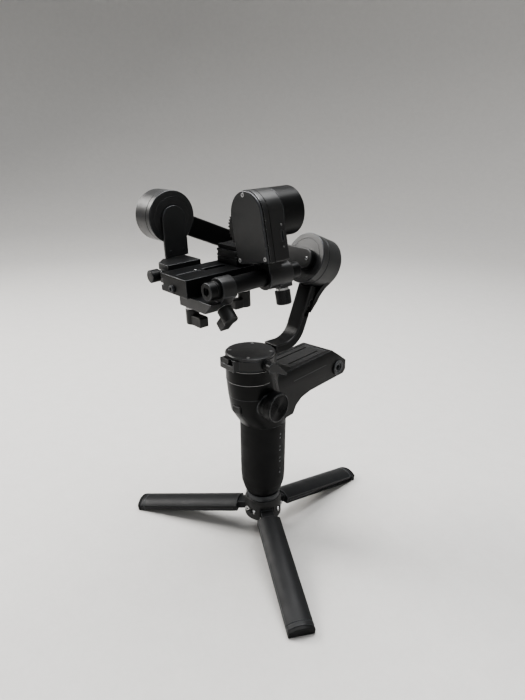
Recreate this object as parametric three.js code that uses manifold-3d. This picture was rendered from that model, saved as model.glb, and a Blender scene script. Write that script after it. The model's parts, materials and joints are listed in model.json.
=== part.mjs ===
// Compact three-axis camera stabilizer on a folding mini tripod, with a lens servo on a 15 mm rod.
// Millimetres, +Z up. The lens side looks along -Y, and the focus wheel is on the +X side.
import * as THREE from 'three';
import { ConvexGeometry } from 'three/addons/geometries/ConvexGeometry.js';
import { mergeVertices } from 'three/addons/utils/BufferGeometryUtils.js';
import Module from 'manifold-3d';

const wasm = await Module();
wasm.setup();
const rad = THREE.MathUtils.degToRad;

// ---- Driving dimensions -------------------------------------------------------------------
const GAP = 0.3; // clearance between pieces that touch

const LEG_HEADINGS = [84.2, 204.2, 324.2]; // degrees from +X
const LEG_SLOPE = 12; // degrees below level with the stand open
const LEG_PIN_RADIUS = 13; // from the stand's axis
const LEG_PIN_HEIGHT = 33;
const LEG_FOLDED_RADIUS = 19; // outside radius of the three legs folded together
const LEG_HALF_ARC = 40; // degrees of that circle that one leg covers, each way
const LEG_ROOT = 13.5; // start of the leg's shell, from its pin
const LEG_END = 134;
const LEG_WALL = 1.8;
const LEG_INSIDE = -5; // open inner side, below the pin line
const TONGUE_WIDTH = 13.4;
const SLOT_WIDTH = 14.2;
const LEG_EYE = 5; // radius round the pin
const LEG_PIN = { radius: 1.5, bore: 1.8, head: 3, headFrom: 12.1, half: 14.1 };
const FOOT = { inside: 14, outside: 3.5, half: 8.5, low: -6.5, high: -4 };

const HUB_RADIUS = 19.5;
const HUB_BOTTOM = 23;
const HUB_TOP = 46;
const STUD = { radius: 4.7, bottom: 40, top: 61 };
const GRIP_RADIUS = 22.9;
const GRIP_BOTTOM = 52.6;
const GRIP_TOP = 136;
const GRIP_INSIDE = 20.4;

const PAN_AXIS_Y = -18.25; // the pan axis stands in front of the grip's axis
const PAN_RADIUS = 24.1;
const STATOR_TOP = 202.3; // joint line between the head and the pan rotor
const ROTOR_TOP = 212.9;
const CAP_TOP = 215.85;
const HEAD_BORE = 20.3;
const HEAD_FLOOR = 175;
const SHAFT_RADIUS = 5.6;
const WINDING_GAP = 0.8; // between a motor's shaft and its winding

const REAR_TOP = 188.5;
const REAR_BOTTOM = 156;
const REAR_END = 117;
const REAR_HALF = 22; // half width
const REAR_WALL = 3.5;
const COVER = { half: 15, front: 26, back: 87, floor: 186, well: 180, slot: 8, slotHalf: 0.9 };
const TRIGGER = { half: 5, back: -31.5, low: 155, high: 164.4 };
const BOSS = { y: 100, z: 167, radius: 8.2, neck: 6.9, face: 24, bore: 3 };
const WHEEL = { y: -16, z: 165, radius: 14.5, inner: 24.3, outer: 34.6 };

const PAN_ANGLE = -8.9; // degrees, the head's upper half is turned a little in its rest pose
const ARM_HALF = 9; // half width of the pan arm
const ARM_THICK = 9;
const ARM_LINE = 212.2; // height of the level part's middle
const ARM_START = 4; // from the pan axis
const LOCK = { half: 10.5, slot: 9, front: -28, floor: 208.5 }; // block for the pan lock
const LEVER = { hub: 5, blade: 29, end: 34, y: -1, z: 207.8 };
const ARM_BEND = { y: 36.4, radius: 24 };

const ROLL_RISE = 21.5; // degrees, the roll axis rises towards the lens side
const ROLL_FACE = { y: 67.9, z: 295.1 };
const ROLL_MOTOR = { radius: 24.7, depth: 28, rotor: 8 };
const NECK = { end: 49.5, fillet: 40, front: -21.2, back: -27.6 }; // below the roll motor's axis
const ROLL_ARM = { end: 16.3, front: 8, thick: 7.6, corner: 24, low: -11, high: 8.5 };
const TILT_FACE_X = -75.1;
const TILT_AHEAD = 106.9; // along the roll axis, from the roll motor's face
const TILT_MOTOR = { radius: 24.1, depth: 27.3, rotor: 6.5 };
const TILT_ARM = { half: 12.4, crown: 10.9, front: -71.8 };
const CLAMP = { left: -74.5, corner: 11, front: -26, back: 9, bottom: -55, top: -36.6, knob: { x: -60, z: -46.8 } };
const CLAMP_KNOB = {
  grip: { radius: 5.8, from: -12 },
  collar: { radius: 4.2, from: -3.5 },
  shaft: { radius: 2, from: -1, to: 14 },
};
const TILT_ANGLE = 2.6; // degrees, the camera plate's nose is a little down in its rest pose

const PLATE = { left: -46, right: -4.6, front: -35, back: 65, bottom: -57, top: -40.9 };
const GROOVE = { low: -52, high: -46.3 }; // along the base plate's left side
const STACK = { left: -41, right: -11, front: 24, back: 64, riser: 5.3, quick: 7.2, pad: 3.9 };
const BOLT = { x: -27, z: -52, head: 3.2, radius: 1.6 };
const SCREW_HOLE = 3.2; // radius
const SCREW_X = -26; // camera screw's axis
const SCREW_Y = 42;
const WING_SHAFT = 2.7; // radius
const WING_COLLAR = 4.8;
const PADDLE = { half: 4.4, height: 9 }; // of every thumb screw
const ROD = { x: 18, z: -47, radius: 7.5, front: -30.5, back: 69.5, thread: 3.4, bore: 16 };
const BRACKET = { left: -25.5, front: -30, ring: -20, back: -6, bottom: -67.5, top: -57.4, wall: 2.1 };
const UNDER_SCREW = { x: -17, y: -23 }; // joins the bracket and the base plate
const FACET = { x: 16, z: -64.5, y: -13, slope: -45 }; // seat of the rod's screw, at the bracket's corner
const SERVO_LEAN = 10; // degrees, the servo leans about the rod
const SERVO = { centre: 53.5, radius: 21.6, foot: 13, cover: 21, front: 24, back: 45, can: 70 };
const PORT = { y: 40.4, width: 3.4, low: 29, high: 39, depth: 3 }; // recess in the servo's side
const SERVO_CLAMP = { radius: 11.5, front: 30, back: 57, low: -12.3, knobY: 50 };
const GEAR = { x: -16, z: 44, teeth: 32, outer: 16, root: 14.3, front: 24.2, back: 30.2 };

// ---- Finishes -----------------------------------------------------------------------------
const finish = (color, roughness, metalness) => () =>
  new THREE.MeshStandardMaterial({ color, roughness, metalness });
const blackMetal = finish(0x17181a, 0.45, 0.7);
const greyMetal = finish(0x3a3d40, 0.5, 0.6);
const blackPlastic = finish(0x151617, 0.6, 0);
const rubber = finish(0x101112, 0.9, 0);
const steel = finish(0xb9bcc0, 0.25, 1);
const copper = finish(0x9a5a2c, 0.4, 0.9);
const board = finish(0x1d4a2c, 0.6, 0);
const cellWrap = finish(0x2f5f93, 0.5, 0);
const clear = finish(0xd9dee2, 0.3, 0);

// ---- Solids -------------------------------------------------------------------------------
function signedVolume(points, triangles) {
  const [a, b, c] = [new THREE.Vector3(), new THREE.Vector3(), new THREE.Vector3()];
  let total = 0;
  for (let i = 0; i < triangles.length; i += 3) {
    a.fromArray(points, 3 * triangles[i]);
    b.fromArray(points, 3 * triangles[i + 1]);
    c.fromArray(points, 3 * triangles[i + 2]);
    total += a.dot(b.cross(c));
  }
  return total;
}

// A closed geometry as a solid whose faces point out.
function solid(geometry) {
  const bare = geometry.clone();
  bare.deleteAttribute('normal');
  bare.deleteAttribute('uv');
  const merged = mergeVertices(bare, 1e-4);
  const points = new Float32Array(merged.attributes.position.array);
  const triangles = [];
  for (let i = 0; i < merged.index.count; i += 3) {
    const [a, b, c] = [0, 1, 2].map((k) => merged.index.getX(i + k));
    if (a !== b && b !== c && c !== a) triangles.push(a, b, c);
  }
  if (signedVolume(points, triangles) < 0) triangles.reverse();
  const mesh = { numProp: 3, vertProperties: points, triVerts: new Uint32Array(triangles) };
  return new wasm.Manifold(new wasm.Mesh(mesh));
}

function toGeometry(manifold) {
  const { vertProperties, triVerts } = manifold.getMesh();
  const geometry = new THREE.BufferGeometry();
  geometry.setAttribute('position', new THREE.BufferAttribute(vertProperties, 3));
  geometry.setIndex(new THREE.BufferAttribute(triVerts, 1));
  geometry.computeVertexNormals();
  return geometry;
}

const join = (...parts) => parts.reduce((whole, part) => whole.add(part));
const cut = (base, ...tools) => tools.reduce((whole, tool) => whole.subtract(tool), base);

const box = (x0, x1, y0, y1, z0, z1) => {
  const geometry = new THREE.BoxGeometry(x1 - x0, y1 - y0, z1 - z0);
  return solid(geometry.translate((x0 + x1) / 2, (y0 + y1) / 2, (z0 + z1) / 2));
};

function cylinder(radius, from, to, segments) {
  const geometry = new THREE.CylinderGeometry(radius, radius, to - from, segments);
  return geometry.translate(0, (from + to) / 2, 0);
}
const rodX = (radius, from, to, y, z, segments = 24) =>
  solid(cylinder(radius, from, to, segments).rotateZ(-Math.PI / 2).translate(0, y, z));
const rodY = (radius, from, to, x, z, segments = 24) =>
  solid(cylinder(radius, from, to, segments).translate(x, 0, z));
const rodZ = (radius, from, to, x, y, segments = 24) =>
  solid(cylinder(radius, from, to, segments).rotateX(Math.PI / 2).translate(x, y, 0));

// A profile of [radius, height] points turned about Z.
function turned(profile, segments = 32) {
  const points = profile.map(([r, z]) => new THREE.Vector2(r, z));
  return solid(new THREE.LatheGeometry(points, segments).rotateX(Math.PI / 2));
}

const outline = (points) => new THREE.Shape(points.map(([a, b]) => new THREE.Vector2(a, b)));
const extruded = (shape, depth, curveSegments) =>
  new THREE.ExtrudeGeometry(shape, { depth, bevelEnabled: false, curveSegments });

// Prisms of a shape drawn in the plane across their axis: (y, z), (x, z) and (x, y).
function prismX(shape, from, to, curveSegments = 8) {
  const turn = new THREE.Matrix4().makeBasis(
    new THREE.Vector3(0, 1, 0),
    new THREE.Vector3(0, 0, 1),
    new THREE.Vector3(1, 0, 0),
  );
  return solid(extruded(shape, to - from, curveSegments).applyMatrix4(turn).translate(from, 0, 0));
}
const prismY = (shape, from, to, curveSegments = 8) =>
  solid(extruded(shape, to - from, curveSegments).rotateX(Math.PI / 2).translate(0, to, 0));
const prismZ = (shape, from, to, curveSegments = 8) =>
  solid(extruded(shape, to - from, curveSegments).translate(0, 0, from));

// The convex body through level circles of { y, z, radius }.
function hull(circles, segments = 32) {
  const points = [];
  for (const { y, z, radius } of circles) {
    for (let i = 0; i < segments; i += 1) {
      const angle = (2 * Math.PI * i) / segments;
      points.push(new THREE.Vector3(radius * Math.cos(angle), y + radius * Math.sin(angle), z));
    }
  }
  return solid(new ConvexGeometry(points));
}

function addPart(parent, name, shape, material) {
  const mesh = new THREE.Mesh(toGeometry(shape), material());
  mesh.name = name;
  parent.add(mesh);
}

function addPivot(parent, name, place, turn = [0, 0, 0]) {
  const pivot = new THREE.Group();
  pivot.name = name;
  pivot.position.set(...place);
  pivot.rotation.set(...turn.map(rad));
  parent.add(pivot);
  return pivot;
}

// ---- Stand --------------------------------------------------------------------------------
// Leg section in (y, z), z measured outwards from the pin line.
function legSection(inset) {
  const radius = LEG_FOLDED_RADIUS - inset;
  const half = LEG_FOLDED_RADIUS * Math.sin(rad(LEG_HALF_ARC)) - inset;
  const lift = Math.acos(half / radius);
  const shape = new THREE.Shape();
  shape.moveTo(-half, LEG_INSIDE);
  shape.lineTo(half, LEG_INSIDE);
  shape.absarc(0, -LEG_PIN_RADIUS, radius, lift, Math.PI - lift, false);
  shape.closePath();
  return shape;
}

function leg() {
  const halfTongue = TONGUE_WIDTH / 2;
  const shell = cut(
    prismX(legSection(0), LEG_ROOT, LEG_END),
    prismX(legSection(LEG_WALL), LEG_ROOT + 2, LEG_END + 1).translate([0, 0, -0.01]),
  );
  const tongue = join(
    rodY(LEG_EYE, -halfTongue, halfTongue, 0, 0, 16),
    box(0, LEG_ROOT + 8, -halfTongue, halfTongue, LEG_INSIDE, 3),
  );
  return cut(join(shell, tongue), rodY(LEG_PIN.bore, -10, 10, 0, 0, 12));
}

// Rubber foot that fills the leg's end, with its tip on the ground.
function footPad() {
  const { inside, outside, half, low, high } = FOOT;
  const ground = new THREE.BoxGeometry(60, 40, 20).translate(LEG_END, 0, -LEG_PIN_HEIGHT - 10);
  return cut(
    join(
      prismX(legSection(LEG_WALL + GAP), LEG_END - inside, LEG_END + 1),
      prismX(legSection(0), LEG_END + GAP, LEG_END + outside),
      box(LEG_END - inside, LEG_END + outside, -half, half, low, high),
    ),
    solid(ground.rotateY(rad(-LEG_SLOPE))),
  );
}

function legPin() {
  const { radius, head, headFrom, half } = LEG_PIN;
  return join(
    rodY(radius, -half, half, 0, 0, 12),
    rodY(head, headFrom, half, 0, 0, 16),
    rodY(head, -half, -headFrom, 0, 0, 16),
  );
}

function hub() {
  const slotFrom = 6.5;
  const slotTop = 38.6;
  const seat = LEG_PIN.headFrom - GAP;
  let body = turned([
    [0, HUB_BOTTOM],
    [HUB_RADIUS - 1, HUB_BOTTOM],
    [HUB_RADIUS, HUB_BOTTOM + 1],
    [HUB_RADIUS, HUB_TOP - 4],
    [HUB_RADIUS - 1.6, HUB_TOP],
    [0, HUB_TOP],
  ]);
  body = cut(body, rodZ(STUD.radius + GAP, STUD.bottom, HUB_TOP + 1, 0, 0, 24));
  for (const heading of LEG_HEADINGS) {
    const tools = join(
      box(slotFrom, 30, -SLOT_WIDTH / 2, SLOT_WIDTH / 2, HUB_BOTTOM - 3, slotTop),
      rodY(LEG_PIN.bore, -20, 20, LEG_PIN_RADIUS, LEG_PIN_HEIGHT, 12),
      rodY(LEG_PIN.head + GAP, seat, 20, LEG_PIN_RADIUS, LEG_PIN_HEIGHT, 16),
      rodY(LEG_PIN.head + GAP, -20, -seat, LEG_PIN_RADIUS, LEG_PIN_HEIGHT, 16),
    );
    body = cut(body, tools.rotate([0, 0, heading]));
  }
  return body;
}

function buildStand(parent) {
  addPart(parent, 'tripod_hub', hub(), blackPlastic);
  LEG_HEADINGS.forEach((heading, i) => {
    const around = rad(heading);
    const pin = [LEG_PIN_RADIUS * Math.cos(around), LEG_PIN_RADIUS * Math.sin(around), LEG_PIN_HEIGHT];
    const turn = addPivot(parent, `heading_${i + 1}`, pin, [0, 0, heading]);
    addPart(turn, `leg_pin_${i + 1}`, legPin(), steel);
    const pivot = addPivot(turn, `leg_pivot_${i + 1}`, [0, 0, 0], [0, LEG_SLOPE, 0]);
    addPart(pivot, `leg_${i + 1}`, leg(), blackPlastic);
    addPart(pivot, `foot_pad_${i + 1}`, footPad(), rubber);
  });
  addPart(parent, 'tripod_stud', rodZ(STUD.radius, STUD.bottom + GAP, STUD.top, 0, 0, 24), steel);
  const ring = turned([
    [6, HUB_TOP + GAP],
    [17.2, HUB_TOP + GAP],
    [17.8, HUB_TOP + 1],
    [17.8, GRIP_BOTTOM - 1],
    [17.2, GRIP_BOTTOM - GAP],
    [6, GRIP_BOTTOM - GAP],
    [6, HUB_TOP + GAP],
  ]);
  addPart(parent, 'lock_ring', ring, greyMetal);
}

// ---- Grip ---------------------------------------------------------------------------------
const PANEL_Z = [100, 134];
const LIGHTS = [82, 95, 108, 122];
const BUTTON_Z = [105, 114];
const STICK_Z = 126;
const WINDOW_HALF = 9; // opening for the control panel, at the back
const CELL = { x: 9.4, radius: 9.1, bottom: 67, top: 131 };

function gripShell() {
  const wall = turned([
    [9.3, GRIP_BOTTOM],
    [15.5, GRIP_BOTTOM],
    [18.6, 55.5],
    [20.6, 59.5],
    [22.2, 66],
    [GRIP_RADIUS, 76],
    [GRIP_RADIUS + 0.3, 110],
    [GRIP_RADIUS + 0.5, GRIP_TOP],
    [GRIP_INSIDE, GRIP_TOP],
    [GRIP_INSIDE, 76],
    [19.6, 66],
    [17, 60.5],
    [9.3, 60.5],
    [9.3, GRIP_BOTTOM],
  ]);
  const window = box(-WINDOW_HALF, WINDOW_HALF, 12, 30, ...PANEL_Z);
  const holes = LIGHTS.map((z) => rodX(1.3, 15, 30, 0, z, 12));
  return cut(wall, window, ...holes);
}

function lightPipe() {
  const strip = box(18.95, 20, -1.6, 1.6, LIGHTS[0] - 3, LIGHTS[3] + 3);
  return join(strip, ...LIGHTS.map((z) => rodX(1, 19.5, 22.8, 0, z, 12)));
}

function controlPanel() {
  const half = WINDOW_HALF - GAP;
  const plate = box(-half, half, 18.6, 30, PANEL_Z[0] + GAP, PANEL_Z[1] - GAP);
  return cut(
    plate.intersect(rodZ(GRIP_RADIUS + 1, 90, 140, 0, 0, 48)),
    rodY(3.7, 10, 30, 0, STICK_Z, 24),
    ...BUTTON_Z.map((z) => rodY(2.8, 10, 30, 0, z, 20)),
  );
}

function buildGrip(parent) {
  addPart(parent, 'grip_shell', gripShell(), rubber);
  const insert = turned([
    [5.1, GRIP_BOTTOM + 0.4],
    [9, GRIP_BOTTOM + 0.4],
    [9, 60.2],
    [5.1, 60.2],
    [5.1, GRIP_BOTTOM + 0.4],
  ], 28);
  addPart(parent, 'tripod_socket', insert, steel);
  [-CELL.x, CELL.x].forEach((x, i) => {
    const cell = rodZ(CELL.radius, CELL.bottom, CELL.top, x, 0, 28);
    addPart(parent, `battery_cell_${i + 1}`, cell, cellWrap);
  });
  addPart(parent, 'light_pipe', lightPipe(), clear);
  addPart(parent, 'main_board', box(-13, 13, 11, 12.2, 92, 138), board);
  addPart(parent, 'control_panel', controlPanel(), blackPlastic);
  BUTTON_Z.forEach((z, i) => {
    addPart(parent, `button_${i + 1}`, rodY(2.5, 13.4, 25, 0, z, 20), blackPlastic);
  });
  const stick = addPivot(parent, 'stick_pivot', [0, 13.2, STICK_Z]);
  const joystick = join(rodY(1.5, 0.2, 12, 0, 0, 16), rodY(3.4, 11.6, 13.8, 0, 0, 24));
  addPart(stick, 'joystick', joystick, rubber);
}

// ---- Head and rear arm --------------------------------------------------------------------
function headCore() {
  return hull([
    { y: 0, z: GRIP_TOP + GAP, radius: 23.6 },
    { y: 0, z: 142, radius: 23.6 },
    { y: PAN_AXIS_Y, z: 156, radius: 19.4 },
    { y: PAN_AXIS_Y, z: 174, radius: 22 },
    { y: PAN_AXIS_Y, z: 190, radius: 23.6 },
    { y: PAN_AXIS_Y, z: STATOR_TOP, radius: 24 },
  ]);
}

function rearArm() {
  const side = outline([
    [0, 140],
    [22, 140],
    [27, 148],
    [36, 153.5],
    [50, REAR_BOTTOM],
    [113, REAR_BOTTOM],
    [REAR_END, 160],
    [REAR_END, 171],
    [92, REAR_TOP],
    [-15, REAR_TOP],
  ]);
  const across = outline([
    [-REAR_HALF, 130],
    [REAR_HALF, 130],
    [REAR_HALF, 180.5],
    [REAR_HALF - 2.5, REAR_TOP + 1],
    [2.5 - REAR_HALF, REAR_TOP + 1],
    [-REAR_HALF, 180.5],
  ]);
  return prismX(side, -REAR_HALF, REAR_HALF).intersect(prismY(across, -20, REAR_END + 1));
}

function headShell() {
  const { half, front, back, floor, well } = COVER;
  const hollow = outline([
    [28, 160],
    [112, 160],
    [112, 169],
    [90, 184],
    [28, 184],
  ]);
  const inside = REAR_HALF - REAR_WALL;
  const wheelBoss = rodX(12.5, 12, WHEEL.inner - GAP, WHEEL.y, WHEEL.z, 36);
  const slot = TRIGGER.half + GAP;
  return cut(
    join(headCore(), rearArm(), wheelBoss),
    rodZ(HEAD_BORE, HEAD_FLOOR, STATOR_TOP + 8, 0, PAN_AXIS_Y, 32),
    rodZ(19.6, GRIP_TOP - 6, 150, 0, 0, 32),
    prismX(hollow, -inside, inside),
    box(-half, half, front, back, floor, REAR_TOP + 6),
    box(2 - half, half - 2, front + 2, back - 2, well, floor + 1),
    rodX(BOSS.neck + GAP, 15, 30, BOSS.y, BOSS.z, 28),
    rodX(2.3, 12.5, 30, WHEEL.y, WHEEL.z, 16),
    box(-slot, slot, -50, -30, TRIGGER.low - 0.4, TRIGGER.high + 0.4),
  );
}

function focusWheel() {
  const { radius, inner, outer } = WHEEL;
  const rim = turned([
    [0, outer - 1.2],
    [radius - 1.8, outer - 0.4],
    [radius - 1.2, outer],
    [radius - 0.5, outer - 0.2],
    [radius, outer - 1],
    [radius, inner + 1],
    [radius - 0.8, inner],
    [2, inner],
    [2, inner - 9],
    [0, inner - 9],
  ]);
  return rim.rotate([0, 90, 0]);
}

function armCover() {
  const { half, front, back, floor, slot, slotHalf } = COVER;
  const plate = box(GAP - half, half - GAP, front + GAP, back - GAP, floor + GAP, REAR_TOP);
  const slots = [-slot, slot].map((x) =>
    box(x - slotHalf, x + slotHalf, front + 5, back - 6, REAR_TOP - 1.1, REAR_TOP + 1.5));
  return cut(plate, ...slots);
}

function armBoss() {
  const { radius, neck, face, bore } = BOSS;
  return turned([
    [0, face - 7],
    [neck, face - 7],
    [neck, REAR_HALF + GAP],
    [radius, REAR_HALF + GAP],
    [radius, face - 0.6],
    [radius - 0.6, face],
    [5.6, face],
    [5.2, face - 1.2],
    [bore, face - 1.2],
    [bore, face - 5.5],
    [0, face - 5.5],
  ]);
}

function frontTrigger() {
  const { half, back, low, high } = TRIGGER;
  const side = outline([
    [back, low],
    [-37, low],
    [-38.9, low + 3],
    [-39.7, low + 6.5],
    [-39.2, high],
    [back, high],
  ]);
  return prismX(side, -half, half);
}

function buildHead(parent) {
  addPart(parent, 'head_shell', headShell(), blackMetal);
  addPart(parent, 'arm_cover', armCover(), blackPlastic);
  addPart(parent, 'arm_boss', armBoss().rotate([0, 90, 0]).translate([0, BOSS.y, BOSS.z]), greyMetal);
  const bore = SHAFT_RADIUS + WINDING_GAP;
  const [low, high] = [HEAD_FLOOR + 2, STATOR_TOP - 1.8];
  const winding = turned([
    [bore, low],
    [HEAD_BORE - GAP, low],
    [HEAD_BORE - GAP, high],
    [bore, high],
    [bore, low],
  ]);
  addPart(parent, 'pan_winding', winding.translate([0, PAN_AXIS_Y, 0]), copper);
  const wheel = addPivot(parent, 'wheel_pivot', [0, WHEEL.y, WHEEL.z]);
  addPart(wheel, 'focus_wheel', focusWheel(), blackMetal);
  addPart(parent, 'front_trigger', frontTrigger(), blackPlastic);
}

// ---- Motors -------------------------------------------------------------------------------
// A motor along +Z: its turning face is at z = 0 and its housing lies behind.
function motorHousing({ radius, depth, rotor }) {
  return turned([
    [0, -depth],
    [radius - 1.4, -depth],
    [radius, -depth + 1.4],
    [radius, -rotor - 0.4],
    [radius - 2.4, -rotor - 0.4],
    [radius - 2.4, -depth + 9],
    [radius - 5, -depth + 3],
    [0, -depth + 3],
  ]);
}

function motorWinding({ radius, depth, rotor }) {
  const bore = SHAFT_RADIUS + WINDING_GAP;
  return turned([
    [bore, -depth + 4.5],
    [radius - 6, -depth + 4.5],
    [radius - 2.8, -depth + 9.5],
    [radius - 2.8, -rotor - 1.4],
    [bore, -rotor - 1.4],
    [bore, -depth + 4.5],
  ], 36);
}

function motorRotor({ radius, depth, rotor }) {
  return turned([
    [0, -depth + 4],
    [SHAFT_RADIUS, -depth + 4],
    [SHAFT_RADIUS, -rotor],
    [radius, -rotor],
    [radius, -0.8],
    [radius - 0.8, 0],
    [0, 0],
  ]);
}

// ---- Pan stage ----------------------------------------------------------------------------
function panRotor() {
  const wheel = turned([
    [0, 178],
    [SHAFT_RADIUS, 178],
    [SHAFT_RADIUS, STATOR_TOP + 0.5],
    [PAN_RADIUS - 0.4, STATOR_TOP + 0.5],
    [PAN_RADIUS, STATOR_TOP + 1],
    [PAN_RADIUS, ROTOR_TOP],
    [0, ROTOR_TOP],
  ]);
  return cut(
    join(wheel, box(-LOCK.half, LOCK.half, LOCK.front, -20, STATOR_TOP + 0.9, ROTOR_TOP)),
    box(-ARM_HALF - 0.4, ARM_HALF + 0.4, ARM_START - 0.4, 30, ARM_LINE - ARM_THICK / 2 - 0.4, 220),
    box(-LOCK.slot, LOCK.slot, LOCK.front - 2, LOCK.front + 3, LOCK.floor, 220),
  );
}

// Side view of the pan arm in (y, z): a tongue under the cap, a level part, a bend, and a post
// that leans with the roll motor.
function panArm() {
  const { y, radius } = ARM_BEND;
  const half = ARM_THICK / 2;
  const centre = ARM_LINE + radius;
  const lean = rad(ROLL_RISE);
  const post = new THREE.Vector2(Math.sin(lean), Math.cos(lean));
  const postLength = 48; // into the roll motor's housing, which is then cut away
  const side = new THREE.Shape();
  side.moveTo(ARM_START, ARM_LINE - half);
  side.lineTo(y, ARM_LINE - half);
  side.absarc(y, centre, radius + half, -Math.PI / 2, -lean, false);
  const outer = new THREE.Vector2(y + (radius + half) * post.y, centre - (radius + half) * post.x);
  const inner = new THREE.Vector2(y + (radius - half) * post.y, centre - (radius - half) * post.x);
  side.lineTo(outer.x + postLength * post.x, outer.y + postLength * post.y);
  side.lineTo(inner.x + postLength * post.x, inner.y + postLength * post.y);
  side.lineTo(inner.x, inner.y);
  side.absarc(y, centre, radius - half, -lean, -Math.PI / 2, true);
  side.lineTo(PAN_RADIUS + 0.7, ARM_LINE + half);
  side.lineTo(PAN_RADIUS + 0.7, ROTOR_TOP - 0.1);
  side.lineTo(ARM_START, ROTOR_TOP - 0.1);
  side.closePath();
  const housing = rodZ(ROLL_MOTOR.radius + GAP, -60, 60, 0, 0, 48);
  const tool = housing.rotate([90 - ROLL_RISE, 0, 0]).translate([0, ROLL_FACE.y, ROLL_FACE.z]);
  return cut(prismX(side, -ARM_HALF, ARM_HALF), tool);
}

// Lever that locks the pan arm, turning about X.
function armLever() {
  const blade = outline([
    [-3.5, -3],
    [3, -5],
    [16.5, -11.5],
    [18, -9.5],
    [5, 3.5],
    [-2, 4],
  ]);
  return join(rodX(LEVER.hub, PAN_RADIUS + 0.4, LEVER.end, 0, 0, 28), prismX(blade, LEVER.blade, LEVER.end));
}

// The housing widens from the arm's width to its own circle in two fillets, behind the arm's post.
function rollHousing() {
  const { end, fillet, front, back } = NECK;
  const side = ARM_HALF + fillet;
  const drop = Math.sqrt((ROLL_MOTOR.radius + fillet) ** 2 - side ** 2);
  const sweep = Math.atan2(drop, side);
  const plan = new THREE.Shape();
  plan.moveTo(ARM_HALF, -end);
  plan.lineTo(ARM_HALF, -drop);
  plan.absarc(side, -drop, fillet, Math.PI, Math.PI - sweep, true);
  plan.lineTo(fillet * Math.cos(sweep) - side, fillet * Math.sin(sweep) - drop);
  plan.absarc(-side, -drop, fillet, sweep, 0, true);
  plan.lineTo(-ARM_HALF, -end);
  plan.closePath();
  const taper = outline([
    [0, back],
    [-end + 12, back + 1],
    [-end, front - 1.2],
    [-end, front],
    [0, front],
  ]);
  const neck = prismZ(plan, back, front).intersect(prismX(taper, -60, 60));
  return join(motorHousing(ROLL_MOTOR), cut(neck, rodZ(ROLL_MOTOR.radius - 1, -60, 60, 0, 0, 48)));
}

function buildPan(parent) {
  const pan = addPivot(parent, 'pan_pivot', [0, PAN_AXIS_Y, 0], [0, 0, PAN_ANGLE]);
  addPart(pan, 'pan_rotor', panRotor(), blackMetal);
  const cap = turned([
    [0, ROTOR_TOP + GAP],
    [PAN_RADIUS - 0.2, ROTOR_TOP + GAP],
    [PAN_RADIUS - 0.2, CAP_TOP - 0.8],
    [PAN_RADIUS - 1, CAP_TOP],
    [0, CAP_TOP],
  ]);
  addPart(pan, 'pan_cap', cap, blackMetal);
  const slider = box(GAP - LOCK.slot, 2, LOCK.front + GAP, LOCK.front + 2.7, LOCK.floor + GAP, ROTOR_TOP + 0.7);
  addPart(pan, 'lock_slider', slider, blackPlastic);
  addPart(pan, 'pan_arm', panArm(), blackMetal);
  const lever = addPivot(pan, 'lever_pivot', [0, LEVER.y, LEVER.z]);
  addPart(lever, 'arm_lever', armLever(), blackMetal);
  const roll = addPivot(pan, 'roll_mount', [0, ROLL_FACE.y, ROLL_FACE.z], [90 - ROLL_RISE, 0, 0]);
  addPart(roll, 'roll_housing', rollHousing(), blackMetal);
  addPart(roll, 'roll_winding', motorWinding(ROLL_MOTOR), copper);
  return roll;
}

// ---- Roll stage: x across, y up the motor's face, z along the roll axis ------------------------
function rollArm() {
  const { end, front, thick, corner, low, high } = ROLL_ARM;
  const bendX = TILT_FACE_X - TILT_MOTOR.rotor - 0.9 + corner - thick;
  const bendZ = front + corner - thick;
  const plan = new THREE.Shape();
  plan.moveTo(end, front - thick);
  plan.lineTo(end, front);
  plan.lineTo(bendX, front);
  plan.absarc(bendX, bendZ, corner - thick, -Math.PI / 2, -Math.PI, true);
  plan.lineTo(bendX - corner + thick, TILT_AHEAD);
  plan.lineTo(bendX - corner, TILT_AHEAD);
  plan.lineTo(bendX - corner, bendZ);
  plan.absarc(bendX, bendZ, corner, Math.PI, 1.5 * Math.PI, false);
  plan.closePath();
  const half = (high - low) / 2;
  const face = new THREE.Shape();
  face.moveTo(-120, low);
  face.lineTo(end - half, low);
  face.absarc(end - half, low + half, half, -Math.PI / 2, Math.PI / 2, false);
  face.lineTo(-120, high);
  face.closePath();
  const bent = prismY(plan, low, high).intersect(prismZ(face, -5, TILT_AHEAD + 5));
  return cut(bent, rodX(TILT_MOTOR.radius + 2 * GAP, -120, -60, 0, TILT_AHEAD, 32));
}

function buildRoll(mount) {
  const roll = addPivot(mount, 'roll_pivot', [0, 0, 0]);
  addPart(roll, 'roll_rotor', motorRotor(ROLL_MOTOR), blackMetal);
  addPart(roll, 'roll_arm', rollArm(), blackMetal);
  const tilt = addPivot(roll, 'tilt_mount', [TILT_FACE_X, 0, TILT_AHEAD], [0, 90, 0]);
  addPart(tilt, 'tilt_housing', motorHousing(TILT_MOTOR), blackMetal);
  addPart(tilt, 'tilt_winding', motorWinding(TILT_MOTOR), copper);
  return roll;
}

// ---- Tilt stage: level axes about the tilt axis, x measured from the pan axis ---------------
function tiltArm() {
  const side = new THREE.Shape();
  side.moveTo(-TILT_ARM.half, CLAMP.top + GAP);
  side.lineTo(TILT_ARM.half, CLAMP.top + GAP);
  side.absarc(0, TILT_ARM.crown - TILT_ARM.half, TILT_ARM.half, 0, Math.PI, false);
  side.closePath();
  return prismX(side, TILT_FACE_X + GAP, TILT_ARM.front);
}

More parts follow.
